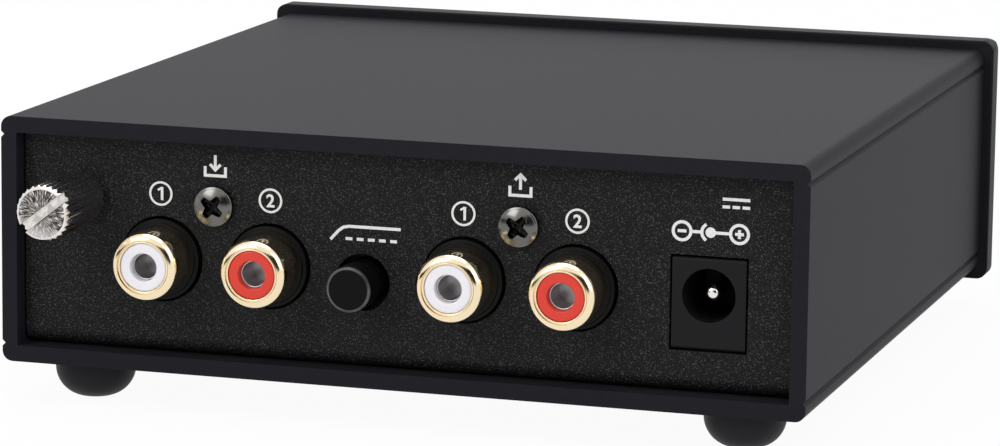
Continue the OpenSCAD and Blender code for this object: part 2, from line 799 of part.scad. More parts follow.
// Split spring contact behind the hole, with a tail down to the board
module jack_contact(x) {
    y_mouth = y_panel + jack_proud - insulator_face - socket_hole_depth - contact_gap;
    length = y_mouth - (y_panel_in - jack_depth);
    slit = [0.4, 4, 6];
    difference() {
        rod_y(x, y_mouth, z_jack, contact_r, length + contact_back);
        rod_y(x, y_mouth + past, z_jack, contact_r - contact_wall, length);
        translate([x - slit[0] / 2, y_mouth - slit[1], z_jack - slit[2] / 2]) cube(slit + [0, past, 0]);
    }
    contact_tail(x, 0);
}

// Flat tail of a contact, or with a gap round it the slot that it needs in the board
module contact_tail(x, gap) {
    tail = [1.2, 0.8];
    reach = 1;
    translate([x - tail[0] / 2 - gap, y_panel_in - jack_depth - contact_back - gap, z_pcb - reach])
        cube([tail[0] + 2 * gap, tail[1] + 2 * gap, z_jack - z_pcb + reach]);
}

module input_jack_contacts() color(gold) for (i = [0, 1]) jack_contact(jack_xs[i]);
module output_jack_contacts() color(gold) for (i = [2, 3]) jack_contact(jack_xs[i]);

// ---- Ground terminal ----

// Section of the knurl: a star of straight teeth
module knurl_section() {
    tip = knurl_d / 2;
    root = tip - knurl_depth;
    polygon([for (i = [0 : 2 * knurl_teeth - 1])
        let (r = i % 2 == 0 ? tip : root, a = i * 180 / knurl_teeth) [r * cos(a), r * sin(a)]]);
}

// Thumbscrew with a knurled, slotted head, a neck for the captive washer and a thread
module ground_thumbscrew() {
    neck_overlap = 0.4;
    head_len = ground_proud - washer_t - 2 * washer_play;
    neck_len = washer_t + 2 * washer_play + neck_overlap;
    thread_len = 8;
    color(steel) translate([ground_x, y_panel + ground_proud, z_ground]) rotate([90, 0, 0]) {
        rotate([0, 0, slot_turn]) difference() {
            intersection() {
                linear_extrude(head_len) knurl_section();
                rotate_extrude() chamfered_section(knurl_d / 2, head_len);
            }
            translate([-slot_w / 2, -knurl_d, -past]) cube([slot_w, 2 * knurl_d, slot_depth + past]);
        }
        translate([0, 0, head_len - slice]) cylinder(r = ground_neck_r, h = neck_len + 2 * slice);
        translate([0, 0, head_len + neck_len]) cylinder(d = ground_thread_d, h = thread_len);
    }
}

// Half section that chamfers both ends of a round piece: it flares out past r between them
module chamfered_section(r, length) {
    chamfer = 0.45;
    polygon([[0, 0], [r - chamfer, 0], [r + past, chamfer + past],
             [r + past, length - chamfer - past], [r - chamfer, length], [0, length]]);
}

// Notched washer held loosely on the thumbscrew's neck
module ground_lock_washer() {
    teeth = 8;
    notch_w = 0.5;
    notch_depth = 0.5;
    rim_inset = 0.25;
    r = knurl_d / 2 - rim_inset;
    color("#6f7175") translate([ground_x, y_panel + washer_play + washer_t, z_ground]) rotate([90, 0, 0])
        difference() {
            cylinder(r = r, h = washer_t);
            translate([0, 0, -past]) {
                cylinder(r = ground_neck_r + 2 * thread_gap, h = washer_t + 2 * past);
                for (i = [0 : teeth - 1]) rotate([0, 0, i * 360 / teeth])
                    translate([r - notch_depth, -notch_w / 2, 0])
                        cube([notch_depth + past, notch_w, washer_t + 2 * past]);
            }
        }
}

// Tapped insert with a hexagonal flange behind the rear panel
module ground_insert() {
    flange_r = insert_r + 1.4;
    flange_t = 3.2;
    color(steel) difference() {
        union() {
            rod_y(ground_x, y_panel, z_ground, insert_r, tray_t + slice);
            translate([ground_x, y_panel_in, z_ground]) rotate([90, 0, 0])
                cylinder(r = flange_r, h = flange_t, $fn = 6);
        }
        hole_y(ground_x, y_panel, z_ground, ground_thread_d / 2 + thread_gap, tray_t + flange_t);
    }
}

// ---- Push buttons ----
// Each is drawn at the origin: y = 0 is the inside of the sheet that it goes through, +y is
// outwards, and z = 0 is the top of the board.

module place_filter() translate([filter_x, y_panel_in, z_pcb_top]) children();
module place_power() translate([power_x, y_flange_in, z_pcb_top]) mirror([0, 1, 0]) children();

// Round button whose face stands reach outside the sheet
module button_cap(d, reach) {
    edge = 0.35;
    translate([0, reach, button_rise]) rotate([90, 0, 0]) rotate_extrude() {
        square([d / 2 - edge, edge + slice]);
        translate([0, edge]) square([d / 2, reach + button_inside - edge]);
        intersection() {
            translate([d / 2 - edge, edge]) circle(r = edge);
            square([d / 2, edge * 2]);
        }
    }
}

// Plunger from the button's back into the switch
module button_plunger() {
    translate([-plunger_side / 2, -button_inside - plunger_len, button_rise - plunger_side / 2])
        cube([plunger_side, plunger_len, plunger_side]);
}

// Latching switch with a cavity for the plunger, standing on a foot at each end
module push_switch() {
    y_mouth = -button_inside - plunger_free;
    y_back = y_mouth - switch_len;
    cavity = plunger_side + 2 * slide_gap;
    difference() {
        union() {
            translate([-switch_w / 2, y_back, button_rise - switch_h / 2])
                cube([switch_w, switch_len, switch_h]);
            for (y = [y_back, y_mouth - switch_foot])
                translate([-switch_w / 2, y, 0]) cube([switch_w, switch_foot, button_rise]);
        }
        translate([-cavity / 2, y_mouth - plunger_cavity, button_rise - cavity / 2])
            cube([cavity, plunger_cavity + past, cavity]);
    }
}

module filter_button() color("#0c0c0e") place_filter() button_cap(filter_d, tray_t + filter_proud);
module filter_plunger() color("#d8d8d4") place_filter() button_plunger();
module filter_switch() color("#3a3b3e") place_filter() push_switch();
module power_button() color("#c3c5c8") place_power() button_cap(power_d, tray_t + front_t + power_proud);
module power_plunger() color("#d8d8d4") place_power() button_plunger();
module power_switch() color("#3a3b3e") place_power() push_switch();

// ---- Power inlet ----

// Moulded body with a round hole for the plug, a hole for the pin's root in its back wall, and
// a channel above for the contact spring
module power_inlet() {
    channel_w = 2.6;
    channel_top = inlet_hole_r + 0.6;
    channel_front = 2;
    color(black) difference() {
        translate([inlet_x, 0, 0]) across_x(inlet_w) inlet_section();
        rod_y(inlet_x, y_panel + past, z_inlet, inlet_hole_r, inlet_len - inlet_back_t + past);
        hole_y(inlet_x, y_panel, z_inlet, inlet_root_r + seat_gap, inlet_len);
        translate([inlet_x - channel_w / 2, y_panel - inlet_len - past, z_inlet])
            cube([channel_w, inlet_len + past - channel_front, channel_top]);
    }
}

module inlet_section() {
    c = inlet_chamfer;
    y_back = y_panel - inlet_len;
    z_top = z_pcb_top + inlet_h;
    polygon([[y_back, z_pcb_top], [y_panel - c, z_pcb_top], [y_panel, z_pcb_top + c],
             [y_panel, z_top - c], [y_panel - c, z_top], [y_back, z_top]]);
}

// Pin with a blunt tip, whose slimmer root is pressed through the inlet's back wall
module power_inlet_pin() {
    tip = inlet_pin_r * 0.5;
    free = inlet_len - inlet_back_t - inlet_pin_recess;
    root_len = inlet_back_t + 0.4;
    color(steel) translate([inlet_x, y_panel - inlet_pin_recess, z_inlet]) rotate([90, 0, 0]) {
        translate([0, 0, tip]) cylinder(r = inlet_pin_r, h = free - tip);
        cylinder(r1 = inlet_pin_r - tip, r2 = inlet_pin_r, h = tip + slice);
        translate([0, 0, free - slice]) cylinder(r = inlet_root_r, h = root_len);
    }
}

// Leaf along the roof of the hole, whose bowed end presses on the plug
module power_inlet_spring() {
    leaf_w = 2;
    tip_inset = 2.4;
    root_inset = 0.1;
    bow_inset = 5.5;
    bow_len = 1;
    bow = 0.45;
    z_leaf = z_inlet + inlet_hole_r;
    y_tip = y_panel - tip_inset;
    y_bow = y_panel - bow_inset;
    y_root = y_panel - inlet_len + root_inset;
    color(gold) translate([inlet_x, 0, 0]) across_x(leaf_w)
        polygon([[y_tip, z_leaf + 0.1], [y_tip, z_leaf + 0.35],
                 [y_root, z_leaf + 0.5], [y_root, z_leaf + 0.2],
                 [y_bow - bow_len / 2, z_leaf - bow], [y_bow + bow_len / 2, z_leaf - bow]]);
}

// ---- Lamp ----

// Light pipe that fills its hole in the front panel, with a stop behind the flange
module lamp_light_pipe() {
    inside = 0.6;
    stop_r = lamp_d / 2 + 0.3;
    stop_t = 0.9;
    stop_gap = 0.1;
    color("#bcd8f5") {
        rod_y(lamp_x, y_flange_in + inside, z_button, lamp_d / 2, front_t + tray_t + inside);
        rod_y(lamp_x, y_flange_in + stop_gap + stop_t, z_button, stop_r, stop_t);
    }
}

// Diode behind the light pipe, with a rim at its rear end and two bent legs down to the board
module lamp_led() {
    y_led = y_flange_in + 1.3;
    led_len = 4.5;
    led_r = 1.5;
    rim_r = 1.9;
    rim_t = 1;
    leg = 0.5;
    leg_reach = 2;
    y_leg = y_led + led_len - 0.1;
    color("#e8eef6") {
        rod_y(lamp_x, y_led + led_len, z_button, led_r, led_len);
        rod_y(lamp_x, y_led + led_len, z_button, rim_r, rim_t);
    }
    color(steel) for (x = [lamp_x - leg_pitch / 2, lamp_x + leg_pitch / 2]) {
        translate([x - leg / 2, y_leg, z_button - leg / 2]) cube([leg, leg_reach, leg]);
        translate([x - leg / 2, y_leg + leg_reach - leg, z_pcb_top])
            cube([leg, leg, button_rise + leg / 2]);
    }
}

// ---- Setting switches under the board ----

// Place of slider number i across a switch whose middle is at x
function slider_x(x, i) = x + (i - (dip_ways - 1) / 2) * dip_pitch;

// Body of a switch, which hangs under the board, with a slot for each slider
module setting_switch(x) {
    slot_w = dip_knob[0] + 2 * slide_gap;
    slot_len = dip_travel + dip_knob[1] + 2 * slide_gap;
    color("#b3242a") difference() {
        translate([x - dip_len / 2, dip_y - dip_w / 2, z_pcb - dip_h]) cube([dip_len, dip_w, dip_h]);
        for (i = [0 : dip_ways - 1])
            translate([slider_x(x, i) - slot_w / 2, dip_y - slot_len / 2, z_pcb - dip_h - past])
                cube([slot_w, slot_len, past + dip_slot_depth]);
    }
}

module setting_switch_left() setting_switch(-dip_x);
module setting_switch_right() setting_switch(dip_x);

// Slider number i of a switch, resting at the end nearer to the front
module slider(x, i) {
    y_mid = dip_y - dip_travel / 2;
    stand = 0.45;
    color("#f2f2ee")
        translate([slider_x(x, i) - dip_knob[0] / 2, y_mid - dip_knob[1] / 2, z_pcb - dip_h - stand])
            cube([dip_knob[0], dip_knob[1], stand + dip_slot_depth - slide_gap]);
}

module slider_left_1() slider(-dip_x, 0);
module slider_left_2() slider(-dip_x, 1);
module slider_left_3() slider(-dip_x, 2);
module slider_left_4() slider(-dip_x, 3);
module slider_right_1() slider(dip_x, 0);
module slider_right_2() slider(dip_x, 1);
module slider_right_3() slider(dip_x, 2);
module slider_right_4() slider(dip_x, 3);

// ---- Parts on the board ----

// Left and right channel stand mirrored about the middle of the board
module both_channels() {
    children();
    mirror([1, 0, 0]) children();
}

// Chip in a two-row package with a notch at one end, whose legs stand on the board
module dual_row_chip(x, y) {
    stand = 0.6;
    notch_r = 0.9;
    legs = 4;
    leg = [0.3, 0.5];
    leg_x = chip_w / 2 + 0.6;
    shoulder = 1;
    shoulder_z = stand + chip_h * 0.34;
    translate([x - chip_w / 2, y - chip_len / 2, z_pcb_top + stand]) difference() {
        cube([chip_w, chip_len, chip_h]);
        translate([chip_w / 2, chip_len, chip_h * 0.75]) cylinder(r = notch_r, h = chip_h);
    }
    for (s = [-1, 1], i = [0 : legs - 1]) translate([x, y + (i - (legs - 1) / 2) * leg_pitch, z_pcb_top]) {
        translate([s * leg_x - leg[0] / 2, -leg[1] / 2, 0]) cube([leg[0], leg[1], shoulder_z + leg[0]]);
        translate([s * (leg_x - 0.4) - shoulder / 2, -shoulder / 2, shoulder_z])
            cube([shoulder, shoulder, leg[0]]);
    }
}

module amplifier_chips() color("#26272a") both_channels() {
    dual_row_chip(chip_x, dip_y + chip_rear);
    dual_row_chip(chip_x, dip_y + chip_front);
}

// Standing capacitor in a can, with a crimp above its foot and a scored top
module can_capacitor(x, y, d, h) {
    crimp_rise = 1.6;
    crimp_r = 0.5;
    crimp_depth = 0.35;
    score = [d * 0.6, 0.3, 0.2];
    color("#22304f") translate([x, y, z_pcb_top]) difference() {
        cylinder(d = d, h = h);
        translate([0, 0, crimp_rise])
            rotate_extrude() translate([d / 2 + crimp_r - crimp_depth, 0]) circle(r = crimp_r);
        for (a = [45, 135]) rotate([0, 0, a])
            translate([-score[0] / 2, -score[1] / 2, h - score[2]]) cube(score + [0, 0, past]);
    }
}

module electrolytic_capacitors() {
    x = pcb_w / 2 - can_side;
    supply_x = (supply_can_d + supply_gap) / 2;
    both_channels() {
        can_capacitor(x, dip_y + can_rear, can_d, can_h);
        can_capacitor(x, dip_y + can_rear - can_pitch, can_d, can_h);
        can_capacitor(supply_x, supply_y, supply_can_d, supply_can_h);
    }
}

// Upright boxes with rounded corners, in a row beside the resistors
module film_capacitors() {
    count = 3;
    corner_r = 0.5;
    first_x = resistor_last_x + resistor_cap_r + film_gap + film_w / 2;
    color("#b8322c") both_channels() for (i = [0 : count - 1])
        translate([first_x + i * film_pitch, dip_y - film_front + film_len / 2, z_pcb_top])
            linear_extrude(film_h) rounded_rect(film_w, film_len, corner_r);
}

// Resistor lying above the board, with end caps and bent legs
module resistor(x, y) {
    leg_r = 0.3;
    leg_overlap = 0.2;
    cap_len = 1.4;
    reach = resistor_len / 2 + 1.4;
    rise = resistor_cap_r + 0.15;
    translate([x, y - resistor_len / 2, z_pcb_top + rise]) rotate([-90, 0, 0]) {
        cylinder(r = resistor_r, h = resistor_len);
        for (end = [0, resistor_len - cap_len])
            translate([0, 0, end]) cylinder(r = resistor_cap_r, h = cap_len);
    }
    translate([x, y - reach - leg_overlap, z_pcb_top + rise])
        rotate([-90, 0, 0]) cylinder(r = leg_r, h = 2 * (reach + leg_overlap));
    for (s = [-1, 1]) translate([x, y + s * reach, z_pcb_top]) cylinder(r = leg_r, h = rise + leg_overlap);
}

module resistors() {
    color("#7fa6c9") both_channels() for (i = [0 : resistor_count - 1])
        resistor(resistor_first_x + i * resistor_pitch, dip_y - resistor_front);
}

// Regulator with three legs, its tab on a finned heat sink
module voltage_regulator() {
    x = -chip_x;
    y = supply_y - sink_front;
    plate_t = 1.6;
    fin_t = 1.4;
    fin_len = 4.1;
    fin_rise = 1;
    fins = 5;
    fin_pitch = (sink_w - fin_t) / (fins - 1);
    body = [10, 3.2, 9];
    body_rise = 4;
    leg = [0.7, 0.5];
    color("#3a3c40") {
        translate([x - sink_w / 2, y, z_pcb_top]) cube([sink_w, plate_t, sink_h]);
        for (i = [0 : fins - 1])
            translate([x - sink_w / 2 + i * fin_pitch, y - fin_len + slice, z_pcb_top + fin_rise])
                cube([fin_t, fin_len, sink_h - fin_rise]);
        translate([x - body[0] / 2, y + plate_t, z_pcb_top + body_rise]) cube(body);
        for (i = [-1 : 1])
            translate([x + i * leg_pitch - leg[0] / 2, y + plate_t + body[1] / 2 - leg[1] / 2, z_pcb_top])
                cube([leg[0], leg[1], body_rise + slice]);
    }
}

sleeve();
front_panel();
front_panel_screws();
chassis_tray();
base_screws();
foot_rear_left();
foot_rear_right();
foot_front_left();
foot_front_right();
circuit_board();
board_standoffs();
board_screws();
input_jack_housing();
output_jack_housing();
input_jack_screw();
output_jack_screw();
input_left_shell();
input_right_shell();
output_left_shell();
output_right_shell();
input_left_insulator();
input_right_insulator();
output_left_insulator();
output_right_insulator();
input_jack_contacts();
output_jack_contacts();
ground_thumbscrew();
ground_lock_washer();
ground_insert();
filter_button();
filter_plunger();
filter_switch();
power_button();
power_plunger();
power_switch();
power_inlet();
power_inlet_pin();
power_inlet_spring();
lamp_light_pipe();
lamp_led();
setting_switch_left();
setting_switch_right();
slider_left_1();
slider_left_2();
slider_left_3();
slider_left_4();
slider_right_1();
slider_right_2();
slider_right_3();
slider_right_4();
amplifier_chips();
electrolytic_capacitors();
film_capacitors();
resistors();
voltage_regulator();
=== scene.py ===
"""Finishes, turned parts and panel marks of a phono preamplifier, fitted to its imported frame.

The frame's +X is to the right seen from the front, the sockets are at +Y and +Z is up. Sizes
in this file are millimetres, and a mesh is brought to metres when it becomes a piece.
"""

import json
import logging
import math
from abc import ABC, abstractmethod
from collections.abc import Iterable, Mapping, Sequence
from dataclasses import dataclass
from enum import Enum
from functools import cache
from typing import Any

import bmesh
import bpy
from mathutils import Matrix, Vector

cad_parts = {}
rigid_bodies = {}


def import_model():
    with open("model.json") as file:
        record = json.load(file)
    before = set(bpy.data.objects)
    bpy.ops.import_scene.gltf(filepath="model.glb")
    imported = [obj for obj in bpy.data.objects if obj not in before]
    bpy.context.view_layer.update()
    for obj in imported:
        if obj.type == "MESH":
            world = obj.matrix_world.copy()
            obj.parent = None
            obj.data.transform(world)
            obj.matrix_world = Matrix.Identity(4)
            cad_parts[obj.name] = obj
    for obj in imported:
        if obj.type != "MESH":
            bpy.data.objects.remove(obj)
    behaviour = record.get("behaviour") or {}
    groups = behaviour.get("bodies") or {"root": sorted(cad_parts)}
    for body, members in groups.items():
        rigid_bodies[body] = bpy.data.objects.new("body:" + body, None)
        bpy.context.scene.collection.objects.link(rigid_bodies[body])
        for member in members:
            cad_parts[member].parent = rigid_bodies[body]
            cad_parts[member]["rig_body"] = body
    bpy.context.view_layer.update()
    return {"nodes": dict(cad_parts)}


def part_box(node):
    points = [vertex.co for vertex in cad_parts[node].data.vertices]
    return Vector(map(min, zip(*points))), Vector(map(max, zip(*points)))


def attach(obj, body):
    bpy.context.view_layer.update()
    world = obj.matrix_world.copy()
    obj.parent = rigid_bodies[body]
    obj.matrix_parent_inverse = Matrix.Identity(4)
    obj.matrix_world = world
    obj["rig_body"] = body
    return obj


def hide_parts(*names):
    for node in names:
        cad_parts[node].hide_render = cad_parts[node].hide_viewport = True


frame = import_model()

MM = 0.001
TINY = 1e-6
CAD_MERGE = 1e-4
CAD_FLAT_ANGLE = 0.6
SOFTENED_SHARP_ANGLE = 50
log = logging.getLogger("preamplifier")

Point = tuple[float, float]
Band = tuple[float, float]
Corner = tuple[float, float, float]
Place = tuple[float, float, float]
Colour = tuple[float, float, float]


def metres(band: Band) -> Band:
    """Two lengths given in millimetres, in metres."""
    return band[0] * MM, band[1] * MM


# ---- Node graphs ----


class Signal:
    """A node's output socket that takes part in Python arithmetic."""

    def __init__(self, graph: "Graph", socket: bpy.types.NodeSocket) -> None:
        """Wraps a socket of a graph."""
        self.graph = graph
        self.socket = socket

    def _math(self, operation: str, first: Any, second: Any) -> "Signal":
        """Adds one Math node for two numbers or signals."""
        return self.graph.add("ShaderNodeMath", {"operation": operation}, {0: first, 1: second})

    def __add__(self, other: Any) -> "Signal":
        """Sum of this signal and another value."""
        return self._math("ADD", self, other)

    def __sub__(self, other: Any) -> "Signal":
        """Difference of this signal and another value."""
        return self._math("SUBTRACT", self, other)

    def __rsub__(self, other: Any) -> "Signal":
        """Difference of another value and this signal."""
        return self._math("SUBTRACT", other, self)

    def __mul__(self, other: Any) -> "Signal":
        """Product of this signal and another value."""
        return self._math("MULTIPLY", self, other)

    def __truediv__(self, other: Any) -> "Signal":
        """Quotient of this signal and another value."""
        return self._math("DIVIDE", self, other)

    def __pow__(self, other: Any) -> "Signal":
        """This signal raised to a power."""
        return self._math("POWER", self, other)

    __radd__ = __add__
    __rmul__ = __mul__

    def least(self, other: Any) -> "Signal":
        """Smaller one of this signal and another value."""
        return self._math("MINIMUM", self, other)

    def most(self, other: Any) -> "Signal":
        """Larger one of this signal and another value."""
        return self._math("MAXIMUM", self, other)

    def clamped(self) -> "Signal":
        """This signal kept between 0 and 1."""
        return self.most(0.0).least(1.0)

    def magnitude(self) -> "Signal":
        """This signal without its sign."""
        return self.most(self * -1.0)

    def hypotenuse(self, other: "Signal") -> "Signal":
        """Distance from the axis that this signal and another one are measured from."""
        return (self * self + other * other) ** 0.5


class Graph:
    """A node tree with one method that adds nodes, and short forms of the common ones."""

    def __init__(self, tree: bpy.types.NodeTree) -> None:
        """Wraps an empty node tree."""
        self.tree = tree

    @classmethod
    def of(cls, owner: bpy.types.Material | bpy.types.World) -> "Graph":
        """Empties the node tree of a material or a world.

        Args:
            owner: the material or the world.

        Returns:
            The graph of its empty tree.
        """
        owner.use_nodes = True
        owner.node_tree.nodes.clear()
        return cls(owner.node_tree)

    def add(
        self,
        kind: str,
        settings: Mapping[str, Any] | None = None,
        sockets: Mapping[int | str, Any] | None = None,
        output: int | str = 0,
    ) -> Signal:
        """Adds a node.

        Args:
            kind: the node's type.
            settings: the node's own settings, which are set before its sockets.
            sockets: a value or a signal for each input socket, by name or by number.
            output: name or number of the output that is wanted.

        Returns:
            The wanted output of the new node.
        """
        node = self.tree.nodes.new(kind)
        for name, value in (settings or {}).items():
            setattr(node, name, value)
        for key, value in (sockets or {}).items():
            if isinstance(value, Signal):
                self.tree.links.new(value.socket, node.inputs[key])
            else:
                node.inputs[key].default_value = value
        if not node.outputs:
            return Signal(self, node.inputs[0])
        return Signal(self, node.outputs[output])

    def output_of(self, signal: Signal, output: int | str) -> Signal:
        """Another output of the node that a signal comes from."""
        return Signal(self, signal.socket.node.outputs[output])

    def place(self) -> Signal:
        """Position on the piece, in metres."""
        return self.add("ShaderNodeTexCoord", output="Object")

    def from_face(self, node: str) -> tuple[Signal, Signal, Signal]:
        """Measures from the middle of a CAD node's rear face, in metres.

        Args:
            node: the CAD node.

        Returns:
            The distances along x, y and z.
        """
        box = Span.of(node)
        middle = Vector((box.middle.x, box.high.y, box.middle.z)) * MM
        moved = self.add("ShaderNodeMapping", {}, {"Vector": self.place(), "Location": -middle})
        x = self.add("ShaderNodeSeparateXYZ", {}, {0: moved})
        return x, self.output_of(x, 1), self.output_of(x, 2)

    def noise(self, size: float, detail: float = 2.0, seed: float = 0) -> Signal:
        """Soft noise from 0 to 1.

        Args:
            size: size of its spots in millimetres.
            detail: how many finer layers it has.
            seed: shift of the pattern.

        Returns:
            The noise.
        """
        moved = {"Vector": self.place(), "Location": (seed, seed, seed)}
        where = self.add("ShaderNodeMapping", {}, moved)
        sockets = {"Vector": where, "Scale": 1 / (size * MM), "Detail": detail}
        return self.add("ShaderNodeTexNoise", {}, sockets)

    def range(
        self, value: Signal, low: float, high: float, to_low: float = 0.0, to_high: float = 1.0
    ) -> Signal:
        """Maps low to to_low and high to to_high, and clamps what lies outside."""
        return self.add("ShaderNodeMapRange", {}, {0: value, 1: low, 2: high, 3: to_low, 4: to_high})

    def blend(self, share: Any, first: Any, second: Any) -> Signal:
        """Mixes two colours.

        Args:
            share: 0 gives the first colour and 1 the second.
            first: a colour or a signal.
            second: a colour or a signal.

        Returns:
            The mixed colour.
        """
        settings = {"data_type": "RGBA"}
        colours = [c if isinstance(c, Signal) else (*c, 1.0) for c in (first, second)]
        return self.add("ShaderNodeMix", settings, {0: share, 6: colours[0], 7: colours[1]}, output=2)

    def bump(self, height: Signal, distance: float, normal: Signal | None = None) -> Signal:
        """Normal of a surface whose height varies.

        Args:
            height: height from 0 to 1.
            distance: height of 1 in millimetres.
            normal: normal that the bump is added to.

        Returns:
            The new normal.
        """
        sockets: dict[int | str, Any] = {"Height": height, "Distance": distance * MM, "Strength": 1.0}
        if normal is not None:
            sockets["Normal"] = normal
        return self.add("ShaderNodeBump", {}, sockets)


# ---- Finishes ----


@dataclass(frozen=True)
class Finish:
    """A plain moulded or painted finish with slight mottling and a fine grain."""

    colour: Colour
    roughness: float = 0.5
    specular: float = 0.5
    metallic: float = 0.0
    mottle: float = 0.12
    mottle_size: float = 5.0
    sheen_change: float = 0.06
    grain: float = 0.15
    grain_height: float = 0.002
    cloud_ratio: float = 1.7
    cloud_levels: Band = (0.3, 0.7)

    def material(self, name: str) -> bpy.types.Material:
        """Makes the material.

        Args:
            name: the material's name.

        Returns:
            The new material.
        """
        material = bpy.data.materials.new(name)
        graph = Graph.of(material)
        sockets = {
            "Base Color": self.tint(graph),
            "Roughness": self.gloss(graph),
            "Metallic": self.metallic,
            "Specular IOR Level": self.specular,
            **self.extras(graph),
        }
        normal = self.relief(graph)
        if normal is not None:
            sockets["Normal"] = normal
        shader = graph.add("ShaderNodeBsdfPrincipled", {}, sockets)
        graph.add("ShaderNodeOutputMaterial", {}, {"Surface": shader})
        return material

    def tint(self, graph: Graph) -> Signal:
        """Colour over the surface.

        Args:
            graph: the material's nodes.

        Returns:
            The colour.
        """
        dark = tuple(c * (1 - self.mottle) for c in self.colour)
        light = tuple(c * (1 + self.mottle) for c in self.colour)
        return graph.blend(graph.noise(self.mottle_size), dark, light)

    def gloss(self, graph: Graph) -> Signal:
        """Roughness over the surface, which changes in soft clouds.

        Args:
            graph: the material's nodes.

        Returns:
            The roughness.
        """
        half = self.sheen_change / 2
        cloud = graph.noise(self.mottle_size * self.cloud_ratio, seed=3.1)
        return graph.range(cloud, *self.cloud_levels, self.roughness - half, self.roughness + half)

    def relief(self, graph: Graph) -> Signal | None:
        """Normal of the fine grain."""
        return graph.bump(graph.noise(self.grain, detail=1.0), self.grain_height)

    def extras(self, graph: Graph) -> dict[int | str, Any]:
        """Further sockets of the shader."""
        return {}


@dataclass(frozen=True)
class PowderCoat(Finish):
    """Fine-textured powder paint with tiny raised grains, whose glints are painted into the colour as lighter
    specks.
    """

    speck: float = 0.16
    speck_levels: Band = (0.6, 0.78)
    speck_rise: float = 0.5
    speck_colour: Colour = (0.062, 0.062, 0.066)
    coarse_ratio: float = 2.2
    coarse_share: float = 0.6

    def _specks(self, graph: Graph) -> Signal:
        """Mask of the few grains that stand highest."""
        cells = graph.noise(self.speck, detail=0.0, seed=7.7)
        return graph.range(cells, *self.speck_levels)

    def tint(self, graph: Graph) -> Signal:
        """Dark paint with painted glints on the highest grains."""
        # the highest grains are raised by the bump and also painted lighter, as painted glints
        return graph.blend(self._specks(graph), Finish.tint(self, graph), self.speck_colour)

    def relief(self, graph: Graph) -> Signal:
        """Sandy surface of two grain sizes.

        Args:
            graph: the material's nodes.

        Returns:
            The normal.
        """
        coarse = graph.noise(self.grain * self.coarse_ratio, detail=2.0)
        fine = graph.noise(self.grain, detail=1.0, seed=1.3)
        sand = coarse * self.coarse_share + fine * (1 - self.coarse_share)
        return graph.bump(sand + self._specks(graph) * self.speck_rise, self.grain_height)


@dataclass(frozen=True)
class PlatedMetal(Finish):
    """Plated metal."""

    metallic: float = 1.0


@dataclass(frozen=True)
class RecessedMetal(PlatedMetal):
    """Plated metal of domed screws, with painted shade in their recesses."""

    nodes: tuple[str, ...] = ()
    dome: float = 4.65
    reach: float = 1.85
    fade: float = 1.05
    dark_depths: Band = (0.1, 0.2)
    # colour of the painted shade in the recesses
    recess_colour: Colour = (0.012, 0.012, 0.012)

    def _recess(self, graph: Graph, node: str) -> Signal:
        """Mask of the painted shade below one screw's dome, near its axis.

        Args:
            graph: the material's nodes.
            node: the screw's CAD node.

        Returns:
            The mask.
        """
        x, y, z = graph.from_face(node)
        square = x * x + z * z
        depth = -1.0 * y - square / (2 * self.dome * MM)
        limit = (self.reach * MM) ** 2
        near = graph.range(square, limit, limit * self.fade, 1.0, 0.0)
        return graph.range(depth, *metres(self.dark_depths)) * near

    def tint(self, graph: Graph) -> Signal:
        """Metal colour, with painted shade in the recesses."""
        # the recesses are painted dark, as painted shade
        share = sum(self._recess(graph, node) for node in self.nodes)
        return graph.blend(share.clamped(), Finish.tint(self, graph), self.recess_colour)


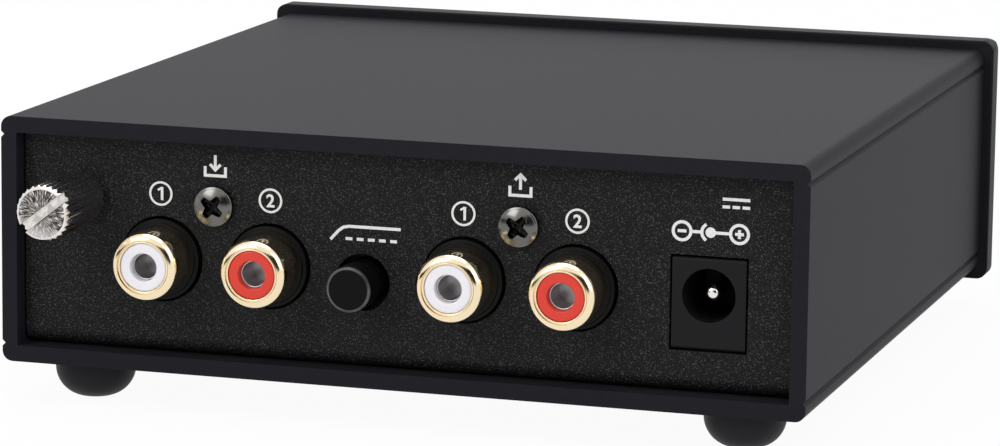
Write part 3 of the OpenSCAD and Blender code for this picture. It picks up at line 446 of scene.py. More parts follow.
@dataclass(frozen=True)
class TurnedMetal(PlatedMetal):
    """Plated metal with tool marks, painted dark as shade besides their bump, that run out from the middle of
    one node's rear face.
    """

    node: str = ""
    face_r: float = 2.9
    face_fade: float = 0.05
    face_depths: Band = (-0.12, -0.06)
    # one side of the face is painted lighter: the painted shade of the marks fades there
    worn_slant: float = 0.3
    worn_band: Band = (-2.6, -1.0)
    worn_least: float = 0.35
    mark_count: float = 130.0
    mark_len: float = 0.8
    mark_depth: float = 0.015
    mark_levels: Band = (0.48, 0.64)
    # painted shade along the marks, as a share of the metal's colour
    shade: float = 0.05
    warmth: Colour = (1.15, 1.0, 0.95)
    # painted shade in patches on the slot's floor
    floor_at: float = -1.3
    floor_fade: Band = (0.03, 0.06)
    floor_shade: float = 0.62
    patch: float = 0.9
    patch_levels: Band = (0.35, 0.6)

    def _rays(self, graph: Graph) -> Signal:
        """Broken streaks that run out from the middle of the face.

        Args:
            graph: the material's nodes.

        Returns:
            Noise from 0 to 1 along the streaks.
        """
        x, _, z = graph.from_face(self.node)
        angle = graph.add("ShaderNodeMath", {"operation": "ARCTAN2"}, {0: x, 1: z})
        out = x.hypotenuse(z) / (self.mark_len * MM)
        place = graph.add("ShaderNodeCombineXYZ", {}, {0: angle * self.mark_count / math.tau, 1: out})
        return graph.add("ShaderNodeTexNoise", {}, {"Vector": place, "Scale": 1.0, "Detail": 3.0})

    def _face(self, graph: Graph) -> Signal:
        """Mask of the flat face, weaker towards one side, which is thus painted lighter, as where light
        falls.

        Args:
            graph: the material's nodes.

        Returns:
            The mask.
        """
        x, y, z = graph.from_face(self.node)
        limits = metres((self.face_r, self.face_r + self.face_fade))
        inside = graph.range(x.hypotenuse(z), *limits, 1.0, 0.0)
        on_top = graph.range(y, *metres(self.face_depths))
        # painted light: the marks fade towards the lower side of the face
        painted_light_fade = graph.range(z - x * self.worn_slant, *metres(self.worn_band), self.worn_least, 1.0)
        return inside * on_top * painted_light_fade

    def tint(self, graph: Graph) -> Signal:
        """Metal colour, with painted shade along the marks and in patches on the slot's floor.

        Args:
            graph: the material's nodes.

        Returns:
            The colour.
        """
        # the tool marks are real, and their dark colour is painted shade
        painted_mark_shade = tuple(c * self.shade * f for c, f in zip(self.colour, self.warmth))
        depth = graph.range(self._rays(graph), *self.mark_levels, 1.0, 0.0)
        marked = graph.blend(depth * self._face(graph), Finish.tint(self, graph), painted_mark_shade)
        _, y, _ = graph.from_face(self.node)
        off = (y - self.floor_at * MM).magnitude()
        floor = graph.range(off, *metres(self.floor_fade), 1.0, 0.0)
        # the slot's floor gets painted shade in patches
        painted_floor_shade = tuple(c * self.floor_shade for c in self.colour)
        patches = graph.range(graph.noise(self.patch, seed=5.1), *self.patch_levels)
        return graph.blend(floor * patches, marked, painted_floor_shade)

    def relief(self, graph: Graph) -> Signal:
        """Grain, and the marks on the face."""
        marks = self._rays(graph) * self._face(graph)
        return graph.bump(marks, self.mark_depth, Finish.relief(self, graph))


@dataclass(frozen=True)
class WornRim(Finish):
    """Moulded finish with a painted highlight round the rim of one node's rear face."""

    node: str = ""
    rim_r: float = 2.58
    rim_w: float = 0.3
    rim_fade: Band = (0.35, 0.65)
    rim_depths: Band = (-0.5, -0.45)
    # colour of the painted rim highlight
    rim_colour: Colour = (0.12, 0.12, 0.125)
    patch: float = 3.0
    patch_levels: Band = (0.38, 0.6)
    patch_least: float = 0.3

    def tint(self, graph: Graph) -> Signal:
        """Plain colour with the painted highlight on the rim.

        Args:
            graph: the material's nodes.

        Returns:
            The colour.
        """
        x, y, z = graph.from_face(self.node)
        off = (x.hypotenuse(z) - self.rim_r * MM).magnitude()
        full, gone = (self.rim_w * share for share in self.rim_fade)
        band = graph.range(off, *metres((full, gone)), 1.0, 0.0)
        patches = graph.range(graph.noise(self.patch, seed=2.2), *self.patch_levels, self.patch_least, 1.0)
        share = band * patches * graph.range(y, *metres(self.rim_depths))
        # the rim is painted paler, as a painted highlight
        return graph.blend(share, Finish.tint(self, graph), self.rim_colour)


@dataclass(frozen=True)
class Lacquered(Finish):
    """A finish under a clear glossy coat."""

    coat: float = 0.6
    coat_roughness: float = 0.08

    def extras(self, graph: Graph) -> dict[int | str, Any]:
        """Coat of the shader."""
        return {"Coat Weight": self.coat, "Coat Roughness": self.coat_roughness}


@dataclass(frozen=True)
class ClearPlastic(Finish):
    """Cloudy clear plastic of a light pipe."""

    passes: float = 0.55

    def extras(self, graph: Graph) -> dict[int | str, Any]:
        """Light that passes through."""
        return {"Transmission Weight": self.passes, "IOR": 1.49}


@dataclass(frozen=True)
class BoardLacquer(Lacquered):
    """Solder mask over a board whose copper tracks show through."""

    track: Colour = (0.02, 0.12, 0.06)
    track_pitch: float = 2.54
    track_share: float = 0.45
    track_fade: Band = (0.05, 0.09)

    def tint(self, graph: Graph) -> Signal:
        """Green with lighter lines where copper lies under it.

        Args:
            graph: the material's nodes.

        Returns:
            The colour.
        """
        step = 1 / (self.track_pitch * MM)
        settings = {"feature": "DISTANCE_TO_EDGE"}
        sockets = {"Vector": graph.place(), "Scale": step * self.track_share}
        cells = graph.add("ShaderNodeTexVoronoi", settings, sockets)
        return graph.blend(graph.range(cells, *self.track_fade), self.track, Finish.tint(self, graph))


FINISHES: dict[str, Finish] = {
    "sleeve_black": Finish(
        (0.0165, 0.0163, 0.0205), 0.4, 0.021, mottle=0.16, mottle_size=0.3, sheen_change=0.02, grain=0.16,
        grain_height=0.012,
    ),
    "panel_black": Finish(
        (0.0150, 0.0152, 0.0180), 0.4, 0.025, mottle=0.1, mottle_size=0.3, sheen_change=0.02, grain=0.16,
        grain_height=0.012,
    ),
    "tray_black": PowderCoat(
        (0.0075, 0.0075, 0.0084), 0.5, 0.12, mottle_size=1.2, grain=0.16, grain_height=0.045
    ),
    "screw_steel": PlatedMetal((0.62, 0.61, 0.59), 0.28),
    "screw_black": RecessedMetal(
        (0.15, 0.148, 0.14), 0.22, grain_height=0.001, mottle=0.1,
        nodes=("input_jack_screw", "output_jack_screw"),
    ),
    "rubber_black": Finish((0.0150, 0.0155, 0.0185), 0.5, 0.14, mottle=0.2, grain=0.12, grain_height=0.006),
    "board_green": BoardLacquer((0.008, 0.07, 0.032), 0.4, coat=0.4),
    "housing_black": Finish((0.0042, 0.004, 0.0038), 0.34, 0.12, grain_height=0.002),
    "socket_gold": PlatedMetal(
        (0.92, 0.77, 0.53), 0.15, grain=0.4, grain_height=0.0012, mottle=0.04, sheen_change=0.05
    ),
    "insulator_white": Finish((0.83, 0.82, 0.86), 0.35, 0.4, mottle=0.02, grain_height=0.001),
    "insulator_red": Finish((0.68, 0.04, 0.022), 0.33, 0.4, mottle=0.06, grain_height=0.001),
    "terminal_nickel": TurnedMetal(
        (0.82, 0.79, 0.76), 0.16, grain=0.1, grain_height=0.002, node="ground_thumbscrew"
    ),
    "button_black": WornRim((0.003, 0.0032, 0.0033), 0.2, 0.08, grain_height=0.0004, node="filter_button"),
    "button_metal": PlatedMetal((0.72, 0.72, 0.73), 0.3, grain=0.12, grain_height=0.002),
    "plunger_white": Finish((0.7, 0.7, 0.66), 0.45),
    "switch_grey": Finish((0.05, 0.05, 0.053), 0.45),
    "inlet_black": Finish((0.0075, 0.0076, 0.0088), 0.42, 0.14, mottle=0.1, grain_height=0.003),
    "lamp_clear": ClearPlastic((0.82, 0.88, 0.95), 0.25),
    "dip_red": Finish((0.45, 0.018, 0.02), 0.38, mottle=0.06),
    "slider_white": Finish((0.8, 0.8, 0.77), 0.42, mottle=0.04),
    "chip_black": Finish((0.016, 0.016, 0.017), 0.5, grain=0.1, grain_height=0.004),
    "capacitor_blue": Lacquered((0.012, 0.025, 0.08), 0.35, coat=0.3),
    "film_red": Lacquered((0.4, 0.025, 0.02), 0.35, coat=0.5),
    "resistor_blue": Lacquered((0.16, 0.32, 0.52), 0.4, coat=0.3),
    "heatsink_grey": Finish((0.045, 0.046, 0.05), 0.4, metallic=0.6),
    "print_white": Finish((0.78, 0.78, 0.77), 0.5, 0.4, mottle=0.05, mottle_size=0.5, grain_height=0.004),
    "contact_dark": PlatedMetal((0.52, 0.5, 0.505), 0.42),
}


@cache
def finish(name: str) -> bpy.types.Material:
    """The material of a finish, made once."""
    return FINISHES[name].material(name)


# ---- Mesh helpers ----


class Facing(Enum):
    """Which way a turned part's axis points."""

    REAR = -90
    FRONT = 90
    UP = 0
    DOWN = 180

    def at(self, x: float, y: float, z: float) -> Matrix:
        """Matrix that lays local Z along this direction, from a point in millimetres."""
        turn = Matrix.Rotation(math.radians(self.value), 4, "X")
        return Matrix.Translation((x, y, z)) @ turn

    def on_axis(self, box: "Span", y: float) -> Matrix:
        """The same from a point on the axis of a box that lies along Y."""
        return self.at(box.middle.x, y, box.middle.z)


@dataclass(frozen=True)
class Span:
    """Box of a CAD node in millimetres."""

    low: Vector
    high: Vector

    @classmethod
    def of(cls, node: str) -> "Span":
        """Box of the node."""
        low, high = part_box(node)
        return cls(low / MM, high / MM)

    @property
    def middle(self) -> Vector:
        """Middle of the box."""
        return (self.low + self.high) / 2

    @property
    def size(self) -> Vector:
        """Edge lengths of the box."""
        return self.high - self.low


def rounded(corners: Sequence[Corner], closed: bool = True, steps: int = 6) -> list[Point]:
    """Outline through corners, each of which becomes an arc of its own radius.

    Args:
        corners: two coordinates and a radius for each corner.
        closed: whether the last corner joins the first.
        steps: chords in each arc.

    Returns:
        The points of the outline.
    """
    count = len(corners)
    outline: list[Point] = []
    for index, (x, y, radius) in enumerate(corners):
        loose_end = not closed and index in (0, count - 1)
        if radius == 0 or loose_end:
            outline.append((x, y))
            continue
        here = Vector((x, y))
        before = (Vector(corners[index - 1][:2]) - here).normalized()
        after = (Vector(corners[(index + 1) % count][:2]) - here).normalized()
        half = before.angle(after) / 2
        centre = here + (before + after).normalized() * radius / math.sin(half)
        first = here + before * radius / math.tan(half) - centre
        last = here + after * radius / math.tan(half) - centre
        start = math.atan2(first.y, first.x)
        sweep = (math.atan2(last.y, last.x) - start + math.pi) % math.tau - math.pi
        for step in range(steps + 1):
            angle = start + sweep * step / steps
            outline.append((centre.x + radius * math.cos(angle), centre.y + radius * math.sin(angle)))
    return outline


def circle(radius: float, segments: int, middle: Point = (0.0, 0.0)) -> list[Point]:
    """Points of a circle."""
    angles = (math.tau * i / segments for i in range(segments))
    return [(middle[0] + radius * math.cos(a), middle[1] + radius * math.sin(a)) for a in angles]


def turned(section: Sequence[Point], segments: int = 96) -> bmesh.types.BMesh:
    """Spins a half section round local Z.

    Args:
        section: radius and height of each point, as a closed line or from pole to pole.
        segments: faces round the axis.

    Returns:
        The closed mesh.
    """
    mesh = bmesh.new()
    unit = circle(1.0, segments)
    rings = []
    for radius, rise in section:
        around = unit if radius > TINY else unit[:1]
        rings.append([mesh.verts.new((radius * x, radius * y, rise)) for x, y in around])
    for lower, upper in zip(rings, rings[1:] + rings[:1]):
        if len(lower) == len(upper) == 1:
            continue
        for i in range(segments):
            j = (i + 1) % segments
            below = (lower[i % len(lower)], lower[j % len(lower)])
            above = (upper[j % len(upper)], upper[i % len(upper)])
            mesh.faces.new(list(dict.fromkeys(below + above)))
    return mesh


def stacked(outlines: Sequence[Sequence[Point]], heights: Sequence[float]) -> bmesh.types.BMesh:
    """Joins outlines of equally many points, one above the other, and caps both ends.

    Args:
        outlines: the outlines, from the lowest up.
        heights: the height of each.

    Returns:
        The closed mesh.
    """
    mesh = bmesh.new()
    layers = []
    for outline, rise in zip(outlines, heights):
        layers.append([mesh.verts.new((x, y, rise)) for x, y in outline])
    count = len(layers[0])
    for lower, upper in zip(layers, layers[1:]):
        for i in range(count):
            j = (i + 1) % count
            mesh.faces.new((lower[i], lower[j], upper[j], upper[i]))
    mesh.faces.new(layers[0])
    mesh.faces.new(layers[-1])
    return mesh


def threaded(radius: float, depth: float, pitch: float, length: float) -> bmesh.types.BMesh:
    """Outer thread from z = 0 up, with closed ends.

    Args:
        radius: radius over the crests.
        depth: depth of the thread.
        pitch: rise in one turn.
        length: length of the thread.

    Returns:
        The closed mesh.
    """
    around = 48
    rows_per_turn = 6
    rows = round(length / pitch * rows_per_turn)
    outlines = []
    for row in range(rows + 1):
        outline = []
        for x, y in circle(1.0, around):
            phase = (row / rows_per_turn - math.atan2(y, x) / math.tau) % 1.0
            local = radius - depth * abs(2 * phase - 1)
            outline.append((x * local, y * local))
        outlines.append(outline)
    return stacked(outlines, [length * row / rows for row in range(rows + 1)])


def flat_square(width: float) -> bmesh.types.BMesh:
    """Flat square round the origin.

    Args:
        width: its edge length.

    Returns:
        The mesh, of one face.
    """
    mesh = bmesh.new()
    bmesh.ops.create_grid(mesh, x_segments=1, y_segments=1, size=width / 2)
    return mesh


def linked(name: str, data: bpy.types.ID) -> bpy.types.Object:
    """Puts a new object into the scene.

    Args:
        name: the object's name.
        data: its mesh, text, lamp or camera.

    Returns:
        The object.
    """
    made = bpy.data.objects.new(name, data)
    bpy.context.scene.collection.objects.link(made)
    return made


def piece_of(
    name: str, mesh: bmesh.types.BMesh, place: Matrix = Matrix(), sharp: float = 38
) -> bpy.types.Object:
    """Makes a scene object of a mesh in millimetres.

    Args:
        name: the object's name.
        mesh: the mesh, which is freed.
        place: where the mesh goes, in millimetres.
        sharp: angle in degrees from which an edge stays sharp.

    Returns:
        The object, at the origin, with its place in its mesh.
    """
    bmesh.ops.remove_doubles(mesh, verts=mesh.verts, dist=TINY)
    bmesh.ops.recalc_face_normals(mesh, faces=mesh.faces)
    mesh.transform(Matrix.Scale(MM, 4) @ place)
    data = bpy.data.meshes.new(name)
    mesh.to_mesh(data)
    mesh.free()
    data.shade_smooth()
    data.set_sharp_from_angle(angle=math.radians(sharp))
    return linked(name, data)


def settle(piece: bpy.types.Object) -> bpy.types.Object:
    """Applies a piece's modifiers and leaves it as one plain mesh.

    Args:
        piece: the piece.

    Returns:
        The same piece.
    """
    done = piece.evaluated_get(bpy.context.evaluated_depsgraph_get())
    data = bpy.data.meshes.new_from_object(done)
    piece.modifiers.clear()
    piece.data = data
    data.name = piece.name
    return piece


def soften(piece: bpy.types.Object, width: float, segments: int = 2, angle: float = 34) -> bpy.types.Object:
    """Bevels a piece's sharp edges and evens its shading.

    Args:
        piece: the piece.
        width: width of the bevel in millimetres.
        segments: faces across the bevel.
        angle: smallest angle in degrees that is bevelled.

    Returns:
        The same piece.
    """
    bevel = piece.modifiers.new("edges", "BEVEL")
    bevel.limit_method = "ANGLE"
    bevel.angle_limit = math.radians(angle)
    bevel.width = width * MM
    bevel.segments = segments
    bevel.use_clamp_overlap = False
    bevel.miter_outer = "MITER_ARC"
    settle(piece)
    piece.data.shade_smooth()
    piece.data.set_sharp_from_angle(angle=math.radians(SOFTENED_SHARP_ANGLE))
    even = piece.modifiers.new("shading", "WEIGHTED_NORMAL")
    even.keep_sharp = True
    return piece


def carve(piece: bpy.types.Object, cutter: bpy.types.Object) -> bpy.types.Object:
    """Cuts one mesh out of another and removes the cutter.

    Args:
        piece: the piece that is cut.
        cutter: what is cut out of it.

    Returns:
        The cut piece.
    """
    cut =piece.modifiers.new("cut", "BOOLEAN")
    cut.operation = "DIFFERENCE"
    cut.solver = "EXACT"
    cut.object = cutter
    settle(piece)
    bpy.data.objects.remove(cutter)
    return piece


def copy_of(node: str, name: str) -> bpy.types.Object:
    """Clean copy of a CAD node's mesh, with its loose triangles merged into whole faces.

    Args:
        node: the CAD node.
        name: the copy's name.

    Returns:
        The copy.
    """
    source = frame["nodes"][node].data
    data = bpy.data.meshes.new(name)
    data.from_pydata([v.co / MM for v in source.vertices], [], [list(p.vertices) for p in source.polygons])
    mesh = bmesh.new()
    mesh.from_mesh(data)
    bpy.data.meshes.remove(data)
    bmesh.ops.remove_doubles(mesh, verts=mesh.verts, dist=CAD_MERGE)
    flat = math.radians(CAD_FLAT_ANGLE)
    bmesh.ops.dissolve_limit(mesh, angle_limit=flat, verts=mesh.verts, edges=mesh.edges)
    return piece_of(name, mesh)


def wear(piece: bpy.types.Object, look: str) -> None:
    """Gives a piece one finish."""
    piece.data.materials.clear()
    piece.data.materials.append(finish(look))


def stand_in(piece: bpy.types.Object, slot: str, *nodes: str) -> bpy.types.Object:
    """Gives a piece its finish and lets it stand for CAD nodes, on the body that they ride on.

    Args:
        piece: the finished piece.
        slot: the record's material slot.
        nodes: the CAD nodes that it stands for.

    Returns:
        The same piece.
    """
    wear(piece, slot)
    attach(piece, frame["nodes"][nodes[0]]["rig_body"])
    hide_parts(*nodes)
    log.info("%s: %d faces, for %s", piece.name, len(piece.data.polygons), ", ".join(nodes))
    return piece


def add_on(piece: bpy.types.Object, look: str, host: str) -> bpy.types.Object:
    """Gives an extra piece its finish and lets it ride with a CAD node.

    Args:
        piece: the finished piece.
        look: the name of its finish.
        host: the CAD node.

    Returns:
        The same piece.
    """
    wear(piece, look)
    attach(piece, frame["nodes"][host]["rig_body"])
    log.info("%s: %d faces, on %s", piece.name, len(piece.data.polygons), host)
    return piece


# ---- Geometry Nodes ----


class Growth:
    """A Geometry Nodes tree with named inputs, which makes or repeats a form."""

    def __init__(self, name: str, inputs: Mapping[str, str]) -> None:
        """Makes the tree.

        Args:
            name: the tree's name.
            inputs: socket type of each named input.
        """
        self.tree = bpy.data.node_groups.new(name, "GeometryNodeTree")
        self.tree.interface.new_socket("Geometry", in_out="INPUT", socket_type="NodeSocketGeometry")
        for label, kind in inputs.items():
            self.tree.interface.new_socket(label, in_out="INPUT", socket_type=kind)
        self.tree.interface.new_socket("Geometry", in_out="OUTPUT", socket_type="NodeSocketGeometry")
        self.graph = Graph(self.tree)
        self.start = self.graph.add("NodeGroupInput")

    def input(self, label: str) -> Signal:
        """Signal of a named input."""
        return self.graph.output_of(self.start, label)

    def close(self, geometry: Signal) -> None:
        """Ends the tree: copies become real and the material is set.

        Args:
            geometry: what the tree has made.
        """
        real = self.graph.add("GeometryNodeRealizeInstances", {}, {0: geometry})
        dressed = self.graph.add(
            "GeometryNodeSetMaterial", {}, {"Geometry": real, "Material": self.input("Material")}
        )
        self.graph.add("NodeGroupOutput", {}, {0: dressed})

    def run(self, piece: bpy.types.Object, values: Mapping[str, Any]) -> bpy.types.Object:
        """Runs the tree on a piece and keeps the result as its plain mesh.

        Args:
            piece: the piece whose mesh goes in.
            values: value of each named input.

        Returns:
            The same piece.
        """
        modifier = piece.modifiers.new(self.tree.name, "NODES")
        modifier.node_group = self.tree
        for item in self.tree.interface.items_tree:
            if item.in_out == "INPUT" and item.name in values:
                modifier[item.identifier] = values[item.name]
        return settle(piece)


@cache
def ring_growth() -> Growth:
    """Makes the tree that repeats a mesh round local Z.

    Returns:
        The tree.
    """
    growth = Growth("ring_of_copies", {"Count": "NodeSocketInt", "Material": "NodeSocketMaterial"})
    graph = growth.graph
    count = growth.input("Count")
    points = graph.add("GeometryNodeMeshLine", {}, {"Count": count, "Offset": (0.0, 0.0, 0.0)})
    turn = graph.add("ShaderNodeCombineXYZ", {}, {2: graph.add("GeometryNodeInputIndex") / count * math.tau})
    sockets = {"Points": points, "Instance": growth.input("Geometry"), "Rotation": turn}
    growth.close(graph.add("GeometryNodeInstanceOnPoints", {}, sockets))
    return growth


@cache
def corner_growth() -> Growth:
    """Makes the tree that repeats a mesh at the four corners of a rectangle.

    Returns:
        The tree.
    """
    inputs = {"Width": "NodeSocketFloat", "Length": "NodeSocketFloat", "Material": "NodeSocketMaterial"}
    growth = Growth("four_corner_copies", inputs)
    graph = growth.graph
    sockets = {
        "Size X": growth.input("Width"),
        "Size Y": growth.input("Length"),
        "Vertices X": 2,
        "Vertices Y": 2,
    }
    points = graph.add("GeometryNodeMeshGrid", {}, sockets)
    sockets = {"Points": points, "Instance": growth.input("Geometry")}
    growth.close(graph.add("GeometryNodeInstanceOnPoints", {}, sockets))
    return growth


@cache
def knurl_growth() -> Growth:
    """Makes the tree of a straight-knurled head along local Z, chamfered at its upper end.

    Returns:
        The tree.
    """
    sizes = ("Radius", "Depth", "Chamfer", "Taper", "Length")
    inputs = {"Teeth": "NodeSocketInt", "Material": "NodeSocketMaterial"}
    inputs.update({size: "NodeSocketFloat" for size in sizes})
    growth = Growth("knurled_head", inputs)
    graph = growth.graph
    radius, depth, chamfer, taper, length = (growth.input(size) for size in sizes)
    teeth = growth.input("Teeth")
    per_tooth = 8
    rows = 4
    sockets = {
        "Vertices": teeth * per_tooth,
        "Side Segments": rows + 1,
        "Radius": 1.0,
        "Depth": 1.0,
    }
    blank = graph.add("GeometryNodeMeshCylinder", {"fill_type": "NGON"}, sockets)
    x = graph.add("ShaderNodeSeparateXYZ", {}, {0: graph.add("GeometryNodeInputPosition")})
    y = graph.output_of(x, 1)
    row = (graph.output_of(x, 2) + 0.5) * (rows + 1)
    rise = row.clamped() * (length - taper) + ((row - 1.0) / rows).clamped() * taper
    angle = graph.add("ShaderNodeMath", {"operation": "ARCTAN2"}, {0: y, 1: x})
    wave = graph.add("ShaderNodeMath", {"operation": "PINGPONG"}, {0: angle * teeth / math.pi, 1: 1.0})
    limit = radius - (1.0 - (length - rise) / taper).clamped() * chamfer
    reach = (radius - wave * depth).least(limit)
    place = graph.add("ShaderNodeCombineXYZ", {}, {0: x * reach, 1: y * reach, 2: rise})
    growth.close(graph.add("GeometryNodeSetPosition", {}, {"Geometry": blank, "Position": place}))
    return growth


def put(piece: bpy.types.Object, place: Matrix) -> bpy.types.Object:
    """Moves a piece's mesh to a place given in millimetres."""
    piece.data.transform(Matrix.Scale(MM, 4) @ place @ Matrix.Scale(1 / MM, 4))
    return piece


# ---- Panel printing ----


class Print:
    """Thin raised printing on a flat sheet, with x to the reader's right and y up, in millimetres."""

    thickness = 0.03
    sink = 0.005
    layer = 0.0015
    ring_chords = 48
    disc_chords = 40
    arc_chords = 24
    least_mitre = 0.3
    tip_gap = 0.7
    one_flag = (-0.24, 0.26)
    one_flag_w = 0.16
    one_stem = 0.1
    one_stem_w = 0.2
    weight_share = 0.7

    def __init__(self, place: Matrix) -> None:
        """Starts an empty sheet.

        Args:
            place: where the sheet lies, with local Z out of the printed face.
        """
        self.mesh = bmesh.new()
        self.place = place
        self.front = self.thickness

    def _fill(self, rails: Sequence[tuple[Point, Point]], closed: bool) -> None:
        """Fills the strip between two rails with a closed thin solid.

        Args:
            rails: the left and right point of each step along the strip.
            closed: whether it returns to its start.
        """
        self.front += self.layer
        levels = (-self.sink, -self.sink, self.front, self.front)
        rows = []
        for left, right in rails:
            corners = zip((left, right, right, left), levels)
            rows.append([self.mesh.verts.new((*p, rise)) for p, rise in corners])
        joints = list(zip(rows, rows[1:]))
        if closed:
            joints.append((rows[-1], rows[0]))
        else:
            self.mesh.faces.new(rows[0])
            self.mesh.faces.new(rows[-1])
        for first, second in joints:
            for i in range(4):
                j = (i + 1) % 4
                self.mesh.faces.new((first[i], first[j], second[j], second[i]))

    def line(self, points: Sequence[Point], width: float, closed: bool = False) -> None:
        """Draws a mitred stroke along points.

        Args:
            points: the middle of the stroke.
            width: its width.
            closed: whether it returns to its start.
        """
        path = [Vector(p) for p in points]
        count = len(path)
        rails = []
        for i, here in enumerate(path):
            before = path[i - 1] if closed or i > 0 else here * 2 - path[1]
            after = path[(i + 1) % count] if closed or i < count - 1 else here * 2 - path[-2]
            ahead = ((here - before).normalized() + (after - here).normalized()).normalized()
            side = Vector((-ahead.y, ahead.x)) * width / 2
            side /= max(self.least_mitre, ahead.dot((after - here).normalized()))
            rails.append((tuple(here + side), tuple(here - side)))
        self._fill(rails, closed)

    def ring(self, middle: Point, radius: float, width: float) -> None:
        """Draws a ring whose outer radius is given."""
        self.line(circle(radius - width / 2, self.ring_chords, middle), width, closed=True)

    def arc(self, middle: Point, radius: float, width: float, start: float, end: float) -> None:
        """Draws part of a ring.

        Args:
            middle: the ring's middle.
            radius: its outer radius.
            width: width of the stroke.
            start: angle of one end, in degrees from x towards y.
            end: angle of the other end.
        """
        steps = self.arc_chords
        angles = [math.radians(start + (end - start) * i / steps) for i in range(steps + 1)]
        reach = radius - width / 2
        points = [(middle[0] + reach * math.cos(a), middle[1] + reach * math.sin(a)) for a in angles]
        self.line(points, width)

    def disc(self, middle: Point, radius: float) -> None:
        """Draws a filled circle.

        Args:
            middle: its middle.
            radius: its radius.
        """
        self.front += self.layer
        edge = circle(radius, self.disc_chords, middle)
        front = [self.mesh.verts.new((*p, self.front)) for p in edge]
        back = [self.mesh.verts.new((*p, -self.sink)) for p in edge]
        self.mesh.faces.new(front)
        self.mesh.faces.new(back)
        for i in range(len(edge)):
            j = (i + 1) % len(edge)
            self.mesh.faces.new((front[i], front[j], back[j], back[i]))

    def arrow(self, tail: Point, head: Point, width: float, wing: float) -> None:
        """Draws an arrow with an open head.

        Args:
            tail: where it starts.
            head: where its tip is.
            width: width of the strokes.
            wing: how far each wing of the head reaches back and aside.
        """
        start, tip = Vector(tail), Vector(head)
        ahead = (tip - start).normalized()
        side = Vector((-ahead.y, ahead.x))
        self.line([tail, tuple(tip - ahead * width * self.tip_gap)], width)
        root = tip - ahead * wing
        self.line([tuple(root + side * wing), head, tuple(root - side * wing)], width)

    def numeral(self, figure: str, middle: Point, height: float, weight: float = 0.05) -> None:
        """Sets one figure. The figure 1 is two strokes, because the font's is a bare bar.

        Args:
            figure: the figure.
            middle: middle of its box.
            height: its height.
            weight: how much its strokes are thickened.
        """
        if figure == "1":
            x, y = middle
            half = height / 2
            stem = x + self.one_stem * height
            across, up = (share * height for share in self.one_flag)
            self.line([(x + across, y + up), (stem, y + half - weight)], height * self.one_flag_w)
            self.line([(stem, y + half), (stem, y - half)], height * self.one_stem_w)
            return
        self.front += self.layer
        curve = bpy.data.curves.new("figure", "FONT")
        curve.body = figure
        curve.offset = weight / height * self.weight_share
        flat = settle_text(linked("figure", curve))
        spots = [v.co for v in flat.vertices]
        low = Vector((min(s.x for s in spots), min(s.y for s in spots)))
        high = Vector((max(s.x for s in spots), max(s.y for s in spots)))
        scale = height / (high.y - low.y)
        centre = (low + high) / 2
        shape = bmesh.new()
        shape.from_mesh(flat)
        bmesh.ops.remove_doubles(shape, verts=shape.verts, dist=1e-5)
        raised = bmesh.ops.extrude_face_region(shape, geom=shape.faces[:])
        tops = {v for v in raised["geom"] if isinstance(v, bmesh.types.BMVert)}
        for vert in shape.verts:
            spot = Vector(middle) + (vert.co.xy - centre) * scale
            vert.co = (*spot, self.front if vert in tops else -self.sink)
        extra = bpy.data.meshes.new("figure")
        shape.to_mesh(extra)
        shape.free()
        self.mesh.from_mesh(extra)
        bpy.data.meshes.remove(extra)
        bpy.data.meshes.remove(flat)

    def piece(self, name: str, host: str) -> bpy.types.Object:
        """Ends the drawing as a piece that rides with a CAD node."""
        return add_on(piece_of(name, self.mesh, self.place, sharp=20), "print_white", host)


def settle_text(letter: bpy.types.Object) -> bpy.types.Mesh:
    """Turns a text object into a flat mesh and removes the object.

    Args:
        letter: the text object.

    Returns:
        The mesh.
    """
    done = letter.evaluated_get(bpy.context.evaluated_depsgraph_get())
    flat = bpy.data.meshes.new_from_object(done)
    curve = letter.data
    bpy.data.objects.remove(letter)
    bpy.data.curves.remove(curve)
    return flat


# ---- Sub-assemblies ----


class SubAssembly(ABC):
    """Pieces that belong together and are dressed together."""

    @abstractmethod
    def build(self) -> None:
        """Makes the pieces and puts them on their bodies."""


@dataclass
class Case(SubAssembly):
    """Sleeve, front panel and tray, with crisp but slightly broken edges."""

    sleeve_edge: float = 0.05
    front_edge: float = 0.1
    sheet_edge: float = 0.12

    def build(self) -> None:
        """Softens the edges of the three large pieces."""
        stand_in(soften(copy_of("sleeve", "extruded_sleeve"), self.sleeve_edge), "sleeve_black", "sleeve")
        stand_in(soften(copy_of("front_panel", "front_plate"), self.front_edge), "panel_black", "front_panel")
        stand_in(soften(copy_of("chassis_tray", "bent_tray"), self.sheet_edge), "tray_black", "chassis_tray")


@dataclass
class Feet(SubAssembly):
    """Four domed rubber feet."""

    round_share: float = 0.75
    top_edge: float = 0.25
    names: tuple[str, ...] = ("foot_rear_left", "foot_rear_right", "foot_front_left", "foot_front_right")

    def build(self) -> None:
        """Turns each foot where its CAD node stands."""
        for name in self.names:
            box = Span.of(name)
            radius, height = box.size.x / 2, box.size.z
            section = rounded(
                [
                    (0, 0, 0),
                    (radius, 0, radius * self.round_share),
                    (radius, height, self.top_edge),
                    (0, height, 0),
                ],
                steps=16,
            )
            place = Facing.UP.at(box.middle.x, box.middle.y, box.low.z)
            foot = piece_of("rubber_" + name, turned(section), place)
            stand_in(foot, "rubber_black", name)


